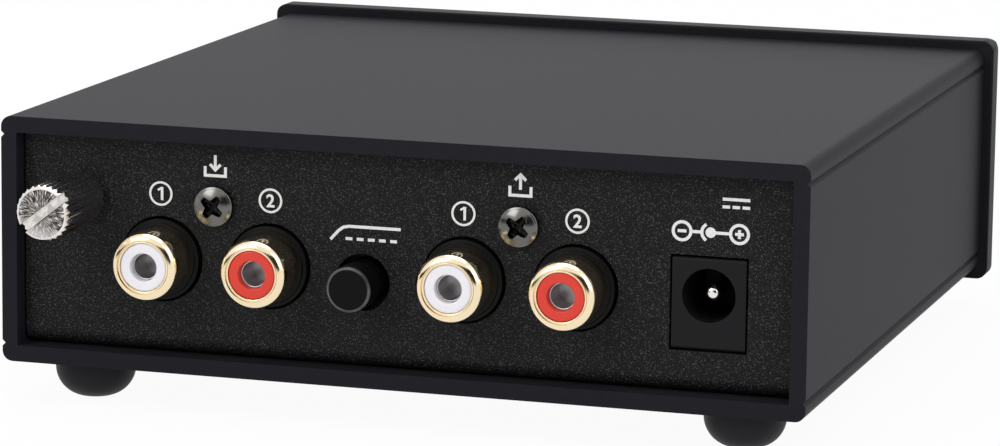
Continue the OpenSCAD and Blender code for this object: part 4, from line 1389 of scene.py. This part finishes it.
@dataclass
class CrossScrew:
    """Pan-head or countersunk screw with a cross recess, along local Z from its seat."""

    head_d: float
    head_h: float
    shank_d: float
    shank_len: float
    span_share: float = 0.61
    tip_share: float = 0.14
    root_share: float = 0.235
    recess_turn: float = 53.0
    recess_levels: tuple[Point, ...] = ((1.05, 0.3), (1.0, -0.15), (0.9, -1.1), (0.3, -1.4))
    arm_round: float = 0.1
    root_round: float = 0.2
    dome_share: float = 0.95
    dome_steps: int = 14
    rim: float = 0.18
    seat_round: float = 0.08
    tip_chamfer: float = 0.3
    countersunk: bool = False

    def _section(self) -> list[Point]:
        """Half section of the screw.

        Returns:
            Radius and height of each point, from the tip up.
        """
        shank = self.shank_d / 2
        head = self.head_d / 2
        end, cut = -self.shank_len, self.tip_chamfer
        root = [(0.0, end), (shank - cut, end), (shank, end + cut)]
        seat = (head, 0, self.seat_round)
        if self.countersunk:
            return root + rounded([(shank, -self.head_h, 0), seat, (0, 0, 0)], closed=False)
        dome = self.head_d * self.dome_share
        shoulder = self.head_h - dome + math.sqrt(dome**2 - head**2)
        corners = [(shank, 0, 0), seat, (head, shoulder, self.rim), (0, self.head_h, 0)]
        rim = rounded(corners, closed=False)
        reach = rim[-2][0]
        crown = []
        for step in range(1, self.dome_steps):
            radius = reach * (1 - step / self.dome_steps)
            crown.append((radius, self.head_h - dome + math.sqrt(dome**2 - radius**2)))
        return root + rim[:-1] + crown + [(0.0, self.head_h)]

    def _recess(self, top: float) -> bmesh.types.BMesh:
        """Cutter of the cross recess, whose arms narrow towards their ends.

        Args:
            top: height of the head's middle.

        Returns:
            The cutter's mesh.
        """
        shares = (self.span_share, self.tip_share, self.root_share)
        span, tip, root = (self.head_d / 2 * share for share in shares)
        arm = ((span, -tip, self.arm_round), (span, tip, self.arm_round), (root, root, self.root_round))
        corners = []
        for quarter in range(4):
            turn = Matrix.Rotation(math.radians(self.recess_turn + 90 * quarter), 2)
            for x, y, radius in arm:
                spot = turn @ Vector((x, y))
                corners.append((spot.x, spot.y, radius))
        outline = rounded(corners, steps=4)
        outlines = [[(x * scale, y * scale) for x, y in outline] for scale, _ in self.recess_levels]
        return stacked(outlines, [top + rise for _, rise in self.recess_levels])

    def piece(self, name: str, edge: float = 0.05) -> bpy.types.Object:
        """Makes the screw at the origin.

        Args:
            name: the piece's name.
            edge: width of its broken edges.

        Returns:
            The piece.
        """
        screw = piece_of(name, turned(self._section()))
        top = 0.0 if self.countersunk else self.head_h
        carve(screw, piece_of(name + "_cutter", self._recess(top)))
        return soften(screw, edge, angle=40)


@dataclass
class SocketPair(SubAssembly):
    """Two phono sockets in one moulded housing, held by one screw."""

    name: str
    lip: float = 0.86
    lip_slopes: Band = (12.0, 72.0)
    lip_steps: int = 20
    slim: float = 0.25
    groove: float = 0.1
    groove_back: float = 0.45
    ring: float = 0.23
    ring_back: float = 0.14
    ring_round: float = 0.07
    inset: float = 0.04
    hole_r: float = 1.7
    hole_back: float = 5.0
    hole_round: float = 0.16
    face_round: float = 0.3
    tail_wall: float = 0.6
    mouth_r: float = 1.47
    mouth_back: float = 0.95
    mouth_rounds: Point = (0.08, 0.12)
    mouth_gap: float = 0.01
    mouth_floor: Band = (-4.9, -4.6)
    screw_shank: float = 2.6
    segments: int = 128
    housing_edge: float = 0.14

    def _shell(self, side: str) -> None:
        """Gold shell with its rounded lip, which falls outwards, and the ring inside it.

        Args:
            side: which socket of the pair.
        """
        node = f"{self.name}_{side}_shell"
        box = Span.of(node)
        outer = box.size.x / 2
        back = -box.size.y
        free = box.high.y - Span.of(f"{self.name}_jack_housing").high.y
        inner = outer - self.lip
        ring = inner - self.groove
        bore = ring - self.ring
        low, high = (math.radians(a) for a in self.lip_slopes)
        bend = self.lip / (math.sin(high) - math.sin(low))
        crown = []
        for step in range(self.lip_steps + 1):
            slope = high + (low - high) * step / self.lip_steps
            across, up = math.sin(slope) - math.sin(low), math.cos(slope) - math.cos(low)
            crown.append((inner + bend * across, bend * up))
        throat = rounded(
            [
                (inner, -self.groove_back, 0),
                (ring, -self.groove_back, 0),
                (ring, -self.ring_back, self.ring_round),
                (bore, -self.ring_back, self.ring_round),
                (bore, back, 0),
            ],
            closed=False,
        )
        neck = [(outer - self.slim, back), (outer - self.slim, -free), (outer, -free)]
        section = neck + crown + throat
        place = Facing.REAR.on_axis(box, box.high.y)
        shell = piece_of(f"{self.name}_{side}_gold_shell", turned(section, self.segments), place)
        stand_in(shell, "socket_gold", node)

    def _insulator(self, side: str, slot: str) -> None:
        """Coloured insulator, and the dark mouth of the contact in its hole.

        Args:
            side: which socket of the pair.
            slot: the record's material slot.
        """
        node = f"{self.name}_{side}_insulator"
        box = Span.of(node)
        outer = box.size.x / 2 - self.inset
        back = -box.size.y
        section = rounded(
            [
                (self.hole_r, -self.hole_back, 0),
                (self.hole_r, 0, self.hole_round),
                (outer, 0, self.face_round),
                (outer, back, 0),
                (outer - self.tail_wall, back, 0),
                (outer - self.tail_wall, -self.hole_back, 0),
            ],
            steps=8,
        )
        place = Facing.REAR.on_axis(box, box.high.y)
        body = piece_of(f"{self.name}_{side}_socket_insulator", turned(section, self.segments), place)
        stand_in(body, slot, node)
        reach = self.hole_r - self.mouth_gap
        under, floor = self.mouth_floor
        outside, inside = self.mouth_rounds
        mouth = rounded(
            [
                (0, under, 0),
                (reach, under, 0),
                (reach, -self.mouth_back, outside),
                (self.mouth_r, -self.mouth_back, inside),
                (self.mouth_r, floor, 0),
                (0, floor, 0),
            ],
            steps=5,
        )
        spring = piece_of(f"{self.name}_{side}_contact_mouth", turned(mouth, self.segments), place)
        add_on(spring, "contact_dark", node)

    def _screw(self) -> None:
        """Cross-recessed screw over the pair."""
        node = f"{self.name}_jack_screw"
        box = Span.of(node)
        panel = Span.of("chassis_tray").high.y
        screw = CrossScrew(box.size.x, box.high.y - panel, self.screw_shank, panel - box.low.y)
        made = screw.piece(f"{self.name}_pair_screw")
        stand_in(put(made, Facing.REAR.on_axis(box, panel)), "screw_black", node)

    def build(self) -> None:
        """Makes the housing, both sockets and the screw."""
        node = f"{self.name}_jack_housing"
        housing = soften(copy_of(node, f"{self.name}_socket_body"), self.housing_edge)
        stand_in(housing, "housing_black", node)
        for side, slot in (("left", "insulator_white"), ("right", "insulator_red")):
            self._shell(side)
            self._insulator(side, slot)
        self._screw()


@dataclass
class GroundTerminal(SubAssembly):
    """Knurled ground screw: head, neck and thread, with its lock washer."""

    teeth: int = 27
    knurl_depth: float = 0.24
    chamfer: float = 0.36
    taper: float = 0.62
    slot_w: float = 1.1
    slot_depth: float = 1.3
    slot_edge: float = 0.12
    slot_turn: float = 52.0
    slot_reach: float = 10.0
    head_len: float = 11.7
    neck_d: float = 3.1
    neck_len: float = 1.2
    neck_sunk: float = 0.1
    neck_segments: int = 48
    thread_pitch: float = 0.7
    thread_depth: float = 0.38
    thread_d: float = 3.9
    washer_inset: float = 0.04
    washer_edge: float = 0.04
    washer_bite: float = 0.3
    washer_slots: int = 8
    washer_cut: Place = (1.1, 0.5, 4.0)

    def _head(self, box: Span) -> bpy.types.Object:
        """Knurled head with its slot, along local Z with its face at z = 0.

        Args:
            box: box of the screw's CAD node.

        Returns:
            The head.
        """
        head = linked("ground_screw_head", bpy.data.meshes.new("knurl_blank"))
        values = {
            "Teeth": self.teeth,
            "Radius": box.size.x / 2 * MM,
            "Depth": self.knurl_depth * MM,
            "Chamfer": self.chamfer * MM,
            "Taper": self.taper * MM,
            "Length": self.head_len * MM,
            "Material": finish("terminal_nickel"),
        }
        knurl_growth().run(head, values)
        put(head, Matrix.Translation((0, 0, -self.head_len)))
        half, edge = self.slot_w / 2, self.slot_edge
        levels = ((half, -self.slot_depth), (half, -edge), (half + 3 * edge, 2 * edge))
        far = self.slot_reach
        outlines = [[(-w, -far), (w, -far), (w, far), (-w, far)] for w, _ in levels]
        slot = stacked(outlines, [rise for _, rise in levels])
        turn = Matrix.Rotation(math.radians(-self.slot_turn), 4, "Z")
        carve(head, piece_of("slot_cutter", slot, turn))
        head.data.shade_smooth()
        head.data.set_sharp_from_angle(angle=math.radians(20))
        return head

    def build(self) -> None:
        """Makes the screw as a head, a neck and a thread, and the washer."""
        node, look = "ground_thumbscrew", "terminal_nickel"
        box = Span.of(node)
        stand_in(put(self._head(box), Facing.REAR.on_axis(box, box.high.y)), look, node)
        length = box.size.y - self.head_len
        radius, foot, top = self.neck_d / 2, -self.neck_len, self.neck_sunk
        neck = turned([(0, foot), (radius, foot), (radius, top), (0, top)], self.neck_segments)
        base = Facing.REAR.on_axis(box, box.high.y - self.head_len)
        add_on(piece_of("ground_screw_neck", neck, base), look, node)
        thread = threaded(self.thread_d / 2, self.thread_depth, self.thread_pitch, length - self.neck_len)
        base = Facing.REAR.on_axis(box, box.low.y)
        add_on(piece_of("ground_screw_thread", thread, base), look, node)
        self._washer()

    def _washer(self) -> None:
        """Lock washer whose rim is cut by a ring of slots."""
        node = "ground_lock_washer"
        box = Span.of(node)
        radius, height = box.size.x / 2 - self.washer_inset, box.size.y
        bore, edge = self.thread_d / 2 - self.washer_bite, self.washer_edge
        rim = [(radius, 0.0), (radius, height - edge), (radius - edge, height)]
        washer = piece_of("toothed_washer", turned([(bore, 0.0), *rim, (bore, height)]))
        cutter = bmesh.new()
        bmesh.ops.create_cube(cutter, size=1)
        cutter.transform(Matrix.Translation((radius, 0, 0)) @ Matrix.Diagonal((*self.washer_cut, 1)))
        slots = piece_of("washer_slots", cutter)
        values = {"Count": self.washer_slots, "Material": finish("terminal_nickel")}
        carve(washer, ring_growth().run(slots, values))
        put(washer, Facing.REAR.on_axis(box, box.low.y))
        stand_in(washer, "terminal_nickel", node)


@dataclass
class PushButton(SubAssembly):
    """Round cap of a latching push button."""

    node: str
    slot: str
    facing: Facing
    edge: float = 0.38
    land: Point = (0.7, 0.01)
    dish: float = 0.06
    dish_shares: Point = (0.5, 0.8)

    def build(self) -> None:
        """Turns the cap with a slightly dished face."""
        box = Span.of(self.node)
        radius, length = box.size.x / 2, box.size.y
        inset, fall = self.land
        across, down = self.dish_shares
        corners = [(radius, -length, 0), (radius, 0, self.edge), (radius - inset, -fall, 0)]
        face = rounded(corners, closed=False, steps=8)
        section = [(0.0, -length), *face, (radius * across, -self.dish * down), (0.0, -self.dish)]
        outer_y = box.high.y if self.facing is Facing.REAR else box.low.y
        cap = piece_of(self.node + "_cap", turned(section), self.facing.on_axis(box, outer_y))
        stand_in(cap, self.slot, self.node)


@dataclass
class PowerInlet(SubAssembly):
    """Moulded power inlet with its centre pin."""

    edge: float = 0.12
    tip: float = 0.85
    segments: int = 64

    def build(self) -> None:
        """Softens the moulding and turns the pin."""
        stand_in(soften(copy_of("power_inlet", "inlet_moulding"), self.edge), "inlet_black", "power_inlet")
        box = Span.of("power_inlet_pin")
        radius, length = box.size.x / 2, box.size.y
        section = rounded([(0, -length, 0), (radius, -length, 0), (radius, 0, self.tip), (0, 0, 0)], steps=10)
        place = Facing.REAR.on_axis(box, box.high.y)
        pin = piece_of("inlet_centre_pin", turned(section, self.segments), place)
        stand_in(pin, "terminal_nickel", "power_inlet_pin")


@dataclass
class Lamp(SubAssembly):
    """Light pipe of the power lamp, domed at the front."""

    radius: float = 1.5
    dome: float = 0.35
    dome_shares: Point = (0.55, 0.2)
    dome_rounds: Point = (0.3, 0.5)
    flange: float = 0.9
    flange_edge: float = 0.1
    segments: int = 64

    def build(self) -> None:
        """Turns the pipe with its flange."""
        box = Span.of("lamp_light_pipe")
        flange_r, length = box.size.x / 2, box.size.y
        flange_back = length - self.flange
        across, down = self.dome_shares
        shoulder, nose = self.dome_rounds
        section = rounded(
            [
                (0, -length, 0),
                (flange_r, -length, self.flange_edge),
                (flange_r, -flange_back, self.flange_edge),
                (self.radius, -flange_back, 0),
                (self.radius, -self.dome, shoulder),
                (self.radius * across, -self.dome * down, nose),
                (0, 0, 0),
            ],
            steps=5,
        )
        place = Facing.FRONT.on_axis(box, box.low.y)
        pipe = piece_of("lamp_pipe", turned(section, self.segments), place)
        stand_in(pipe, "lamp_clear", "lamp_light_pipe")


@dataclass
class SettingSwitch(SubAssembly):
    """Body of a four-way setting switch under the board, with its numbers."""

    side: str
    edge: float = 0.12
    knob_edge: float = 0.1
    figure_h: float = 0.8
    figure_weight: float = 0.02
    figure_inset: float = 0.85
    ways: int = 4

    def build(self) -> None:
        """Softens the body and the sliders, and prints a number beside each slider."""
        node = f"setting_switch_{self.side}"
        stand_in(soften(copy_of(node, f"switch_body_{self.side}"), self.edge), "dip_red", node)
        body = Span.of(node)
        sheet = Print(Facing.DOWN.at(0, body.low.y + self.figure_inset, body.low.z))
        for way in range(1, self.ways + 1):
            slider = f"slider_{self.side}_{way}"
            knob = soften(copy_of(slider, f"switch_knob_{self.side}_{way}"), self.knob_edge)
            stand_in(knob, "slider_white", slider)
            middle = (Span.of(slider).middle.x, 0)
            sheet.numeral(str(way), middle, self.figure_h, self.figure_weight)
        sheet.piece(f"switch_figures_{self.side}", node)


@dataclass
class BaseScrews(SubAssembly):
    """Four countersunk screws that hold the sleeve to the tray."""

    head_d: float = 6.0
    head_h: float = 1.5
    shank_d: float = 3.0
    recess_share: float = 0.5

    def build(self) -> None:
        """Makes one screw and repeats it at the four corners."""
        box = Span.of("base_screws")
        sizes = (self.head_d, self.head_h, self.shank_d, box.size.z)
        made = CrossScrew(*sizes, span_share=self.recess_share, countersunk=True).piece("sleeve_screws")
        put(made, Matrix.Rotation(math.pi, 4, "X"))
        values = {
            "Width": (box.size.x - self.head_d) * MM,
            "Length": (box.size.y - self.head_d) * MM,
            "Material": finish("screw_black"),
        }
        corner_growth().run(made, values)
        put(made, Matrix.Translation((box.middle.x, box.middle.y, box.low.z)))
        stand_in(made, "screw_black", "base_screws")


@dataclass
class PanelPrint(SubAssembly):
    """Generic marks beside the sockets, the button and the inlet.

    Their places are given from the sleeve's underside up, and to the right as seen from behind.
    A row of dashes is given by the length of each, the pitch and the count.
    """

    stroke: float = 0.36
    way_y: float = 25.4
    tray_half: float = 1.3
    tray_span: Band = (-1.2, -0.1)
    arrow_span: Band = (-0.5, 1.3)
    arrow_wing: float = 0.68
    channel_y: float = 21.6
    channel_shifts: Point = (-0.1, 0.15)
    figure_h: float = 1.6
    ring_r: float = 1.5
    ring_w: float = 0.26
    low_cut_shift: float = 0.4
    low_cut_y: float = 18.4
    knee: tuple[Point, ...] = ((-4.4, -0.95), (-3.4, 0.15), (-2.8, 0.6), (-2.1, 0.75), (4.4, 0.75))
    level_start: Point = (-2.5, -0.75)
    level_row: tuple[float, float, int] = (0.85, 1.4, 5)
    inlet_shift: float = 0.1
    current_place: Point = (3.0, 24.9)
    current_half: Point = (1.65, 0.45)
    current_row: tuple[float, float, int] = (0.9, 1.2, 3)
    polarity_y: float = 21.3
    sign_r: float = 1.25
    sign_pitch: float = 3.45
    sign_arm: float = 0.52
    sign_lap: float = 0.1
    pin_r: float = 0.62
    pin_lap: float = 0.5
    sleeve_angles: Band = (120.0, 240.0)
    sleeve_lap: float = 0.15

    def _way_mark(self, sheet: Print, x: float, y: float, inwards: bool) -> None:
        """Arrow into or out of an open box.

        Args:
            sheet: the printing.
            x: middle of the mark.
            y: its height.
            inwards: whether the arrow points into the box.
        """
        left, right = x - self.tray_half, x + self.tray_half
        floor, brim = (y + rise for rise in self.tray_span)
        sheet.line([(left, brim), (left, floor), (right, floor), (right, brim)], self.stroke)
        low, high = ((x, y + rise) for rise in self.arrow_span)
        tail, head = (high, low) if inwards else (low, high)
        sheet.arrow(tail, head, self.stroke, self.arrow_wing)

    def _channel(self, sheet: Print, figure: str, x: float, y: float) -> None:
        """Number of a channel in a ring."""
        sheet.ring((x, y), self.ring_r, self.ring_w)
        sheet.numeral(figure, (x, y), self.figure_h)

    def _dash(self, sheet: Print, start: float, end: float, y: float) -> None:
        """Level stroke between two places."""
        sheet.line([(start, y), (end, y)], self.stroke)

    def _dashes(self, sheet: Print, start: float, y: float, length: float, pitch: float, count: int) -> None:
        """Level row of short strokes.

        Args:
            sheet: the printing.
            start: where the first one starts.
            y: their height.
            length: length of each.
            pitch: distance from one's start to the next one's.
            count: how many there are.
        """
        for i in range(count):
            left = start + i * pitch
            self._dash(sheet, left, left + length, y)

    def _low_cut(self, sheet: Print, x: float, y: float) -> None:
        """Level line that falls away at low frequencies, over a dashed one that stays level."""
        sheet.line([(x + across, y + up) for across, up in self.knee], self.stroke)
        self._dashes(sheet, x + self.level_start[0], y + self.level_start[1], *self.level_row)

    def _direct_current(self, sheet: Print, x: float, y: float) -> None:
        """Direct-current sign.

        Args:
            sheet: the printing.
            x: its middle.
            y: its height.
        """
        half, rise = self.current_half
        self._dash(sheet, x - half, x + half, y + rise)
        self._dashes(sheet, x - half, y - rise, *self.current_row)

    def _polarity(self, sheet: Print, x: float, y: float) -> None:
        """Polarity of the inlet, with the pin positive.

        Args:
            sheet: the printing.
            x: middle of the pin's dot.
            y: its height.
        """
        arm, reach = self.sign_arm, self.sign_r
        minus, plus = x - self.sign_pitch, x + self.sign_pitch
        for middle in (minus, plus):
            sheet.ring((middle, y), reach, self.stroke)
            self._dash(sheet, middle - arm, middle + arm, y)
        sheet.line([(plus, y - arm), (plus, y + arm)], self.stroke)
        sheet.disc((x, y), self.pin_r)
        sheet.arc((x, y), reach, self.stroke, *self.sleeve_angles)
        self._dash(sheet, minus + reach - self.sign_lap, x - reach + self.sleeve_lap, y)
        self._dash(sheet, x + self.pin_lap, plus - reach + self.sign_lap, y)

    def build(self) -> None:
        """Draws the marks on the rear panel."""
        panel = Span.of("chassis_tray").high.y
        base = Span.of("sleeve").low.z
        reader = Matrix.Rotation(math.pi, 4, "Z")
        sheet = Print(Facing.REAR.at(0, panel, base) @ reader)
        for name, inwards in (("input", True), ("output", False)):
            left, right = (-Span.of(f"{name}_{side}_shell").middle.x for side in ("left", "right"))
            self._way_mark(sheet, (left + right) / 2, self.way_y, inwards)
            self._channel(sheet, "1", left + self.channel_shifts[0], self.channel_y)
            self._channel(sheet, "2", right + self.channel_shifts[1], self.channel_y)
        self._low_cut(sheet, self.low_cut_shift - Span.of("filter_button").middle.x, self.low_cut_y)
        inlet = self.inlet_shift - Span.of("power_inlet").middle.x
        across, up = self.current_place
        self._direct_current(sheet, inlet + across, up)
        self._polarity(sheet, inlet, self.polarity_y)
        sheet.piece("panel_print", "chassis_tray")


# ---- Floor, light and camera ----


@dataclass(frozen=True)
class Card:
    """Dark card that stands in the studio and faces the object, in metres."""

    place: Place
    size: Point
    roll: float = 0.0


@dataclass(frozen=True)
class SoftLamp:
    """Square soft lamp of the studio, in metres and watts."""

    name: str
    place: Place
    size: float
    power: float


@dataclass
class Studio:
    """Pale floor, soft lamps, dark cards and the camera."""

    camera_place: Place = (-169.04, 555.64, 122.01)
    yaw: float = 17.0
    pitch: float = 10.2
    roll: float = 0.72
    lens: float = 165.25
    sensor: float = 36.0
    shift: Point = (-0.0078, -0.0022)
    clip: Band = (0.01, 100.0)
    floor_size: float = 30.0
    paleness: float = 0.95
    ambient: float = 0.55
    cards: tuple[Card, ...] = (
        Card((-0.34, 0.94, 0.22), (0.86, 0.56), -25.0),
        Card((0.80, 0.62, 0.10), (0.9, 0.17)),
    )
    target: Place = (0.0, 0.0, 0.02)
    lamps: tuple[SoftLamp, ...] = (
        SoftLamp("key_lamp", (0.6, 0.85, 0.75), 0.6, 4.5),
        SoftLamp("fill_lamp", (-0.9, 0.55, 0.6), 0.8, 2.5),
        SoftLamp("top_lamp", (0.0, 0.1, 1.1), 0.9, 4.0),
        SoftLamp("front_lamp", (0.3, -0.8, 0.9), 0.8, 1.5),
    )

    def _camera(self) -> None:
        """Sets the camera by its turn away from the rear panel."""
        yaw, pitch, roll = (math.radians(a) for a in (self.yaw, self.pitch, self.roll))
        ahead = Vector(
            (math.sin(yaw) * math.cos(pitch), -math.cos(yaw) * math.cos(pitch), -math.sin(pitch))
        )
        level = Vector((-math.cos(yaw), -math.sin(yaw), 0))
        above = level.cross(ahead)
        right = level * math.cos(roll) + above * math.sin(roll)
        up = above * math.cos(roll) - level * math.sin(roll)
        turn = Matrix((right, up, -ahead)).transposed().to_4x4()
        data = bpy.data.cameras.new("camera")
        data.lens = self.lens
        data.sensor_width = self.sensor
        data.shift_x, data.shift_y = self.shift
        data.clip_start, data.clip_end = self.clip
        camera = linked("camera", data)
        camera.matrix_world = Matrix.Translation(Vector(self.camera_place) * MM) @ turn
        bpy.context.scene.camera = camera

    def _seen(self, graph: Graph) -> Signal:
        """Tells rays that show the background from rays that light the object.

        Args:
            graph: the nodes of the world or of a material.

        Returns:
            1 for rays of the camera, of reflections and through clear pieces.
        """
        path = graph.add("ShaderNodeLightPath", output="Is Camera Ray")
        glossy = graph.output_of(path, "Is Glossy Ray")
        through = graph.output_of(path, "Is Transmission Ray")
        return (path + glossy + through).clamped()

    def _world(self) -> None:
        """White world for what is seen, and a dimmer one for the light that it gives."""
        world = bpy.data.worlds.new("studio")
        graph = Graph.of(world)
        strength = self._seen(graph) * (1 - self.ambient) + self.ambient
        back = graph.add("ShaderNodeBackground", {}, {"Color": (1, 1, 1, 1), "Strength": strength})
        graph.add("ShaderNodeOutputWorld", {}, {"Surface": back})
        bpy.context.scene.world = world

    def _floor(self) -> None:
        """Wide pale floor that keeps a faint shadow."""
        material = bpy.data.materials.new("studio_floor")
        graph = Graph.of(material)
        paint = graph.add("ShaderNodeBsdfDiffuse", {}, {"Color": (0.9, 0.9, 0.9, 1)})
        glow = graph.add("ShaderNodeEmission", {}, {"Color": (1, 1, 1, 1), "Strength": 1.0})
        share = self._seen(graph) * self.paleness
        mixed = graph.add("ShaderNodeMixShader", {}, {0: share, 1: paint, 2: glow})
        graph.add("ShaderNodeOutputMaterial", {}, {"Surface": mixed})
        floor = piece_of("studio_floor", flat_square(self.floor_size / MM))
        floor.data.materials.append(material)

    def _lamp(self, lamp: SoftLamp) -> None:
        """Hangs a lamp that looks at the object's middle.

        Args:
            lamp: its name, place, size and power.
        """
        data = bpy.data.lights.new(lamp.name, "AREA")
        data.shape = "SQUARE"
        data.size = lamp.size
        data.energy = lamp.power
        made = linked(lamp.name, data)
        made.location = lamp.place
        made.rotation_mode = "QUATERNION"
        made.rotation_quaternion = (Vector(self.target) - Vector(lamp.place)).to_track_quat("-Z", "Y")

    def _card(self, name: str, card: Card) -> None:
        """Stands a dark card that only reflections see, so that polished metal shows its roundness.

        Args:
            name: the card's name.
            card: its place, size and roll.
        """
        place = Vector(card.place)
        turn = (-place).to_track_quat("Z", "Y").to_matrix().to_4x4()
        roll = Matrix.Rotation(math.radians(card.roll), 4, "Z")
        size = Matrix.Diagonal((*card.size, 1, 1))
        stand = Matrix.Translation(place / MM) @ turn @ roll @ size
        piece = piece_of(name, flat_square(1 / MM), stand)
        piece.data.materials.append(self._cloth())
        piece.visible_camera = False
        piece.visible_diffuse = False
        piece.visible_transmission = False
        piece.visible_shadow = False

    @staticmethod
    @cache
    def _cloth() -> bpy.types.Material:
        """Makes the black cloth of the cards.

        Returns:
            The material.
        """
        material = bpy.data.materials.new("studio_cloth")
        graph = Graph.of(material)
        cloth = graph.add("ShaderNodeBsdfDiffuse", {}, {"Color": (0.01, 0.01, 0.01, 1)})
        graph.add("ShaderNodeOutputMaterial", {}, {"Surface": cloth})
        return material

    def build(self) -> None:
        """Makes the studio."""
        bpy.context.scene.view_settings.view_transform = "Standard"
        self._camera()
        self._world()
        self._floor()
        for index, card in enumerate(self.cards):
            self._card(f"studio_card_{index + 1}", card)
        for lamp in self.lamps:
            self._lamp(lamp)


def paint_nodes() -> None:
    """Gives every CAD node the finish of its record slot."""
    for node in frame["nodes"].values():
        materials = node.data.materials
        for index, material in enumerate(materials):
            materials[index] = finish(material.name.split(".")[0])


def main() -> None:
    """Builds the studio and dresses each sub-assembly."""
    logging.basicConfig(level=logging.INFO, format="%(message)s")
    Studio().build()
    paint_nodes()
    assemblies: Iterable[SubAssembly] = (
        Case(),
        Feet(),
        SocketPair("input"),
        SocketPair("output"),
        GroundTerminal(),
        PushButton("filter_button", "button_black", Facing.REAR),
        PushButton("power_button", "button_metal", Facing.FRONT),
        PowerInlet(),
        Lamp(),
        SettingSwitch("left"),
        SettingSwitch("right"),
        BaseScrews(),
        PanelPrint(),
    )
    for assembly in assemblies:
        assembly.build()


if __name__ == "__main__":
    main()
